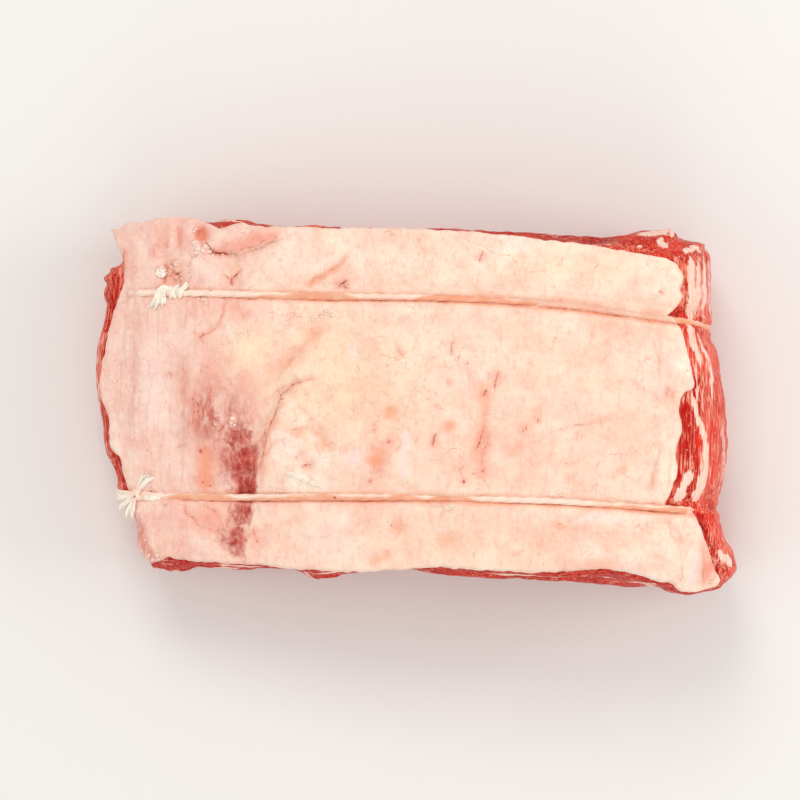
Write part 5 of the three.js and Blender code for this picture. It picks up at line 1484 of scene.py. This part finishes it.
def makeTuft(rng, root, tip, rootWidth, tipWidth, yarns):
    away = np.array(tip) - np.array(root)
    across = np.array([-away[1], away[0]]) / np.linalg.norm(away)
    lengths = rng.uniform(0.8, 1.08, 3)
    parts = []
    for k in range(yarns):
        place = (k + 0.5) / yarns - 0.5
        gathered = place - 0.05 * math.sin(6 * math.pi * place)  # in three strands
        start = np.array(root) + across * place * rootWidth + rng.uniform(-0.15, 0.15, 2)
        reach = lengths[round(3 * place * 0.99) + 1] * rng.uniform(0.94, 1.03)
        end = np.array(root) + away * reach + across * gathered * tipWidth + rng.uniform(-0.2, 0.2, 2)
        parts.append(tuftYarn(rng, start, end, rng.uniform(0.3, 0.46), rng.choice([0.0, 0.4, 0.8])))
    for _ in range(yarns):
        spin = rng.uniform(-0.75, 0.75)
        end = np.array(root) + away * rng.uniform(0.9, 1.16) + across * spin * tipWidth + rng.uniform(-0.4, 0.4, 2)
        parts.append(tuftYarn(rng, np.array(root) + rng.uniform(-0.4, 0.4, 2), end, 0.075, rng.uniform(0.2, 1.1), 0.5))
    return parts


def makeKnot(name, tie, rng):
    knot = knots[name]
    parts = []
    for (x, y), size, long, turn in knot["wads"]:
        parts.append(bumpyLump(rng, x, y, float(topHeight(x, y)) + 0.9 * size, size, long, turn, 0.8, 0.2, (14, 9)))
    for x, around, tilt in knot["wraps"]:
        y = float(alongTable(tie["run"], x))
        centre = np.array([x, y, float(topHeight(x, y)) + twine["radius"] - 0.2])
        angle = np.linspace(0, 2 * np.pi, 40, endpoint=False)
        loop = np.column_stack([tilt * 1.6 * np.sin(angle), 1.12 * around * np.cos(angle), around * np.sin(angle)])
        parts.append(sweep(centre + loop, 0.82, 12, closed=True, axis=(1, 0, 0), strands=3, pitch=5, strandDepth=0.08))
    cross = smoothCurve(knot["crossing"], samples=14)
    ground = topHeight(cross[:, 0], cross[:, 1])
    arch = 1.5 + 0.9 * np.sin(np.pi * np.linspace(0, 1, len(cross)))
    parts.append(sweep(np.column_stack([cross, ground + arch]), 1.0, 14, strands=3, pitch=7, strandDepth=0.08))
    for tuft in knot["tufts"]:
        parts += makeTuft(rng, *tuft)
    return parts


def buildTwine(name, tieName, material, seed):
    rng = np.random.default_rng(seed)
    tie = ties[tieName]
    route = tieRoute(tie)
    length = np.linalg.norm(np.diff(route, axis=0), axis=1).sum()
    path = evenly(np.vstack([route, route[:1]]), np.linspace(0, 1, int(length / twine["step"]) + 1))[:-1]
    along = np.arange(len(path)) * twine["step"]
    radius = twine["radius"] * (0.97 + 0.05 * softNoise(along, along * 0, 6, seed) + 0.03 * softNoise(along, along * 0, 2, seed + 1))
    path[:, 1] += 0.22 * softNoise(along, along * 0, 21, seed + 2)
    main = sweep(path, radius, twine["sides"], closed=True, strands=twine["strands"], pitch=twine["pitch"],
                 strandDepth=twine["strandDepth"], wide=twine["wide"])
    knotParts = makeKnot(tieName, tie, rng)
    points, faces = joinParts([main] + knotParts)
    x, off = points[:, 0], points[:, 1] - alongTable(tie["run"], points[:, 0])
    isMain = np.arange(len(points)) < len(main[0])
    amount = alongTable(tie["stainAndShade"], x) * (0.92 + 0.3 * softNoise(x, x * 0, 9, seed + 5))
    reach = 0.1 + 2.3 * smoothShare((amount - 0.45) / 0.5)  # how far up its side the stain, and the painted shade of its lower side, reach
    # the stain lies on the twine's lower (-Y) side: partly real soaking, partly painted shade of that side
    orangeTint = np.where(isMain, np.clip(1.8 * amount, 0, 1) * smoothShare((reach - off) / 1.5), 0)
    middle = np.array([tie["knotAt"], float(alongTable(tie["run"], tie["knotAt"]))])
    nearKnot = 1 - smoothShare((np.hypot(*(points[:, :2] - middle).T) - 2.0) / 5.0)
    pink = np.where(isMain, 0.5 + 0.5 * softNoise(x, x * 0, 19, seed + 6), knots[tieName]["pinkness"] * nearKnot)
    bright = np.where(isMain, 0, 1 - 0.8 * knots[tieName]["pinkness"] * nearKnot)
    faceSets = [np.array([f for f in faces if len(f) == n]) for n in sorted({len(f) for f in faces})]
    return makePiece(name, points, faceSets, material, {"tintTwine": [orangeTint, pink, bright]})


def makeTwineMaterial():
    material, tree, shader, place = startMaterial("cottonTwine")
    stainAndShade = readTints(tree, "tintTwine")
    fuzz = useGroup(tree, fibreGroup, Vector=place, Across=2600.0, Along=2600.0, Warp=0.6, Low=0.4, High=0.66)
    base = blend(tree, calc(tree, "MULTIPLY", fuzz, 0.55), linear(*twine["cotton"]), linear(*twine["shadow"]))
    patches = useGroup(tree, mottleGroup, Vector=place, Scale=150.0, Detail=3.0, Warp=0.5, Low=0.38, High=0.62)
    base = blend(tree, calc(tree, "MULTIPLY", stainAndShade[1], spread(tree, patches, -0.6, 1.2)), base, linear(*twine["pink"]))
    base = blend(tree, stainAndShade[2], base, blend(tree, calc(tree, "MULTIPLY", fuzz, 0.3), linear(*twine["fray"]), linear(*twine["cotton"])))
    # painted shade on the twine's lower side, mixed with its real stain
    soakedAndShaded = calc(tree, "MULTIPLY", stainAndShade[0], spread(tree, patches, -2.6, 1.0))
    base = blend(tree, calc(tree, "MULTIPLY", soakedAndShaded, 0.9), base, linear(*twine["stainAndShade"]))
    dots = useGroup(tree, mottleGroup, Vector=place, Scale=420.0, Detail=1.0, Warp=0.0, Low=0.76, High=0.8)
    base = blend(tree, calc(tree, "MULTIPLY", dots, 0.8), base, linear(130, 62, 40))
    tree.links.new(base, shader.inputs["Base Color"])
    grain = useGroup(tree, grainGroup, Vector=place, Fine=3200.0, Coarse=1200.0, Share=0.4)
    bump = put(tree, "Bump", {"Strength": 0.6, "Distance": 0.0004, "Height": grain})
    tree.links.new(bump.outputs[0], shader.inputs["Normal"])
    film = useGroup(tree, filmGroup, Vector=place, Scale=400.0, Wet=0.7, Dry=0.95)
    tree.links.new(film, shader.inputs["Roughness"])
    return material


fatMaterial = makeFatMaterial()
leanMaterial = makeLeanMaterial()
twineMaterial = makeTwineMaterial()
print("materials built")

fatPiece = buildFatCap(fatMaterial)
leanPiece = buildLean(leanMaterial)
upperTwine = buildTwine("twineUpper", "upper", twineMaterial, 301)
lowerTwine = buildTwine("twineLower", "lower", twineMaterial, 302)
for piece, node, slotName in ((fatPiece, "fat_cap", "fat"), (leanPiece, "lean", "lean_meat"),
                              (upperTwine, "twine_upper", "twine"), (lowerTwine, "twine_lower", "twine")):
    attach(piece, "root")
    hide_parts(node)
print("roast built")

stage = {
    "floorSize": 6.0, "floorColour": (236, 234, 231),
    "worldStrength": 0.62,
    "lights": [  # place, size, power and colour
        ((-0.3, 1.15, 1.4), 0.7, 9.5, (255, 252, 248)),
        ((1.35, 0.1, 0.75), 0.9, 8.0, (255, 252, 250)),
        ((-1.1, -0.4, 1.0), 1.0, 3.0, (255, 253, 250)),
        ((0.1, -1.3, 0.8), 1.0, 3.5, (255, 253, 250)),
    ],
    "cameraPlace": (-0.00823, 0.00279, 1.25), "halfView": 0.186,  # half of what shows at the floor, in metres
}


def buildStage():
    floorMesh = bpy.data.meshes.new("floor")
    half = stage["floorSize"] / 2
    floorMesh.from_pydata([(-half, -half, 0), (half, -half, 0), (half, half, 0), (-half, half, 0)], [], [(0, 1, 2, 3)])
    material, tree, shader, place = startMaterial("paleFloor")
    faint = useGroup(tree, mottleGroup, Vector=place, Scale=3.0, Detail=2.0, Warp=0.0, Low=0.3, High=0.7)
    colour = linear(*stage["floorColour"])
    tree.links.new(blend(tree, faint, colour, tuple(c * 0.985 for c in colour[:3]) + (1.0,)), shader.inputs["Base Color"])
    shader.inputs["Roughness"].default_value = 0.9
    floorMesh.materials.append(material)
    floor = bpy.data.objects.new("floor", floorMesh)
    bpy.context.scene.collection.objects.link(floor)
    for n, (place, size, power, tone) in enumerate(stage["lights"]):
        lamp = bpy.data.lights.new("softbox%d" % n, "AREA")
        lamp.shape, lamp.size, lamp.energy = "SQUARE", size, power
        lamp.color = linear(*tone)[:3]
        holder = bpy.data.objects.new("softbox%d" % n, lamp)
        holder.location = place
        holder.rotation_euler = (Vector((0, 0, 0.04)) - Vector(place)).to_track_quat("-Z", "Y").to_euler()
        bpy.context.scene.collection.objects.link(holder)
    world = bpy.data.worlds.new("studio")
    world.use_nodes = True
    background = world.node_tree.nodes["Background"]
    background.inputs["Color"].default_value = (1, 1, 1, 1)
    background.inputs["Strength"].default_value = stage["worldStrength"]
    bpy.context.scene.world = world


def buildCamera():
    lens = bpy.data.cameras.new("camera")
    lens.sensor_width = 36
    lens.lens = 18 * stage["cameraPlace"][2] / stage["halfView"]
    camera = bpy.data.objects.new("camera", lens)
    camera.location = stage["cameraPlace"]
    camera.rotation_euler = (0, 0, 0)
    bpy.context.scene.collection.objects.link(camera)
    bpy.context.scene.camera = camera


buildStage()
buildCamera()
bpy.context.scene.view_settings.view_transform = "Standard"
print("stage set")
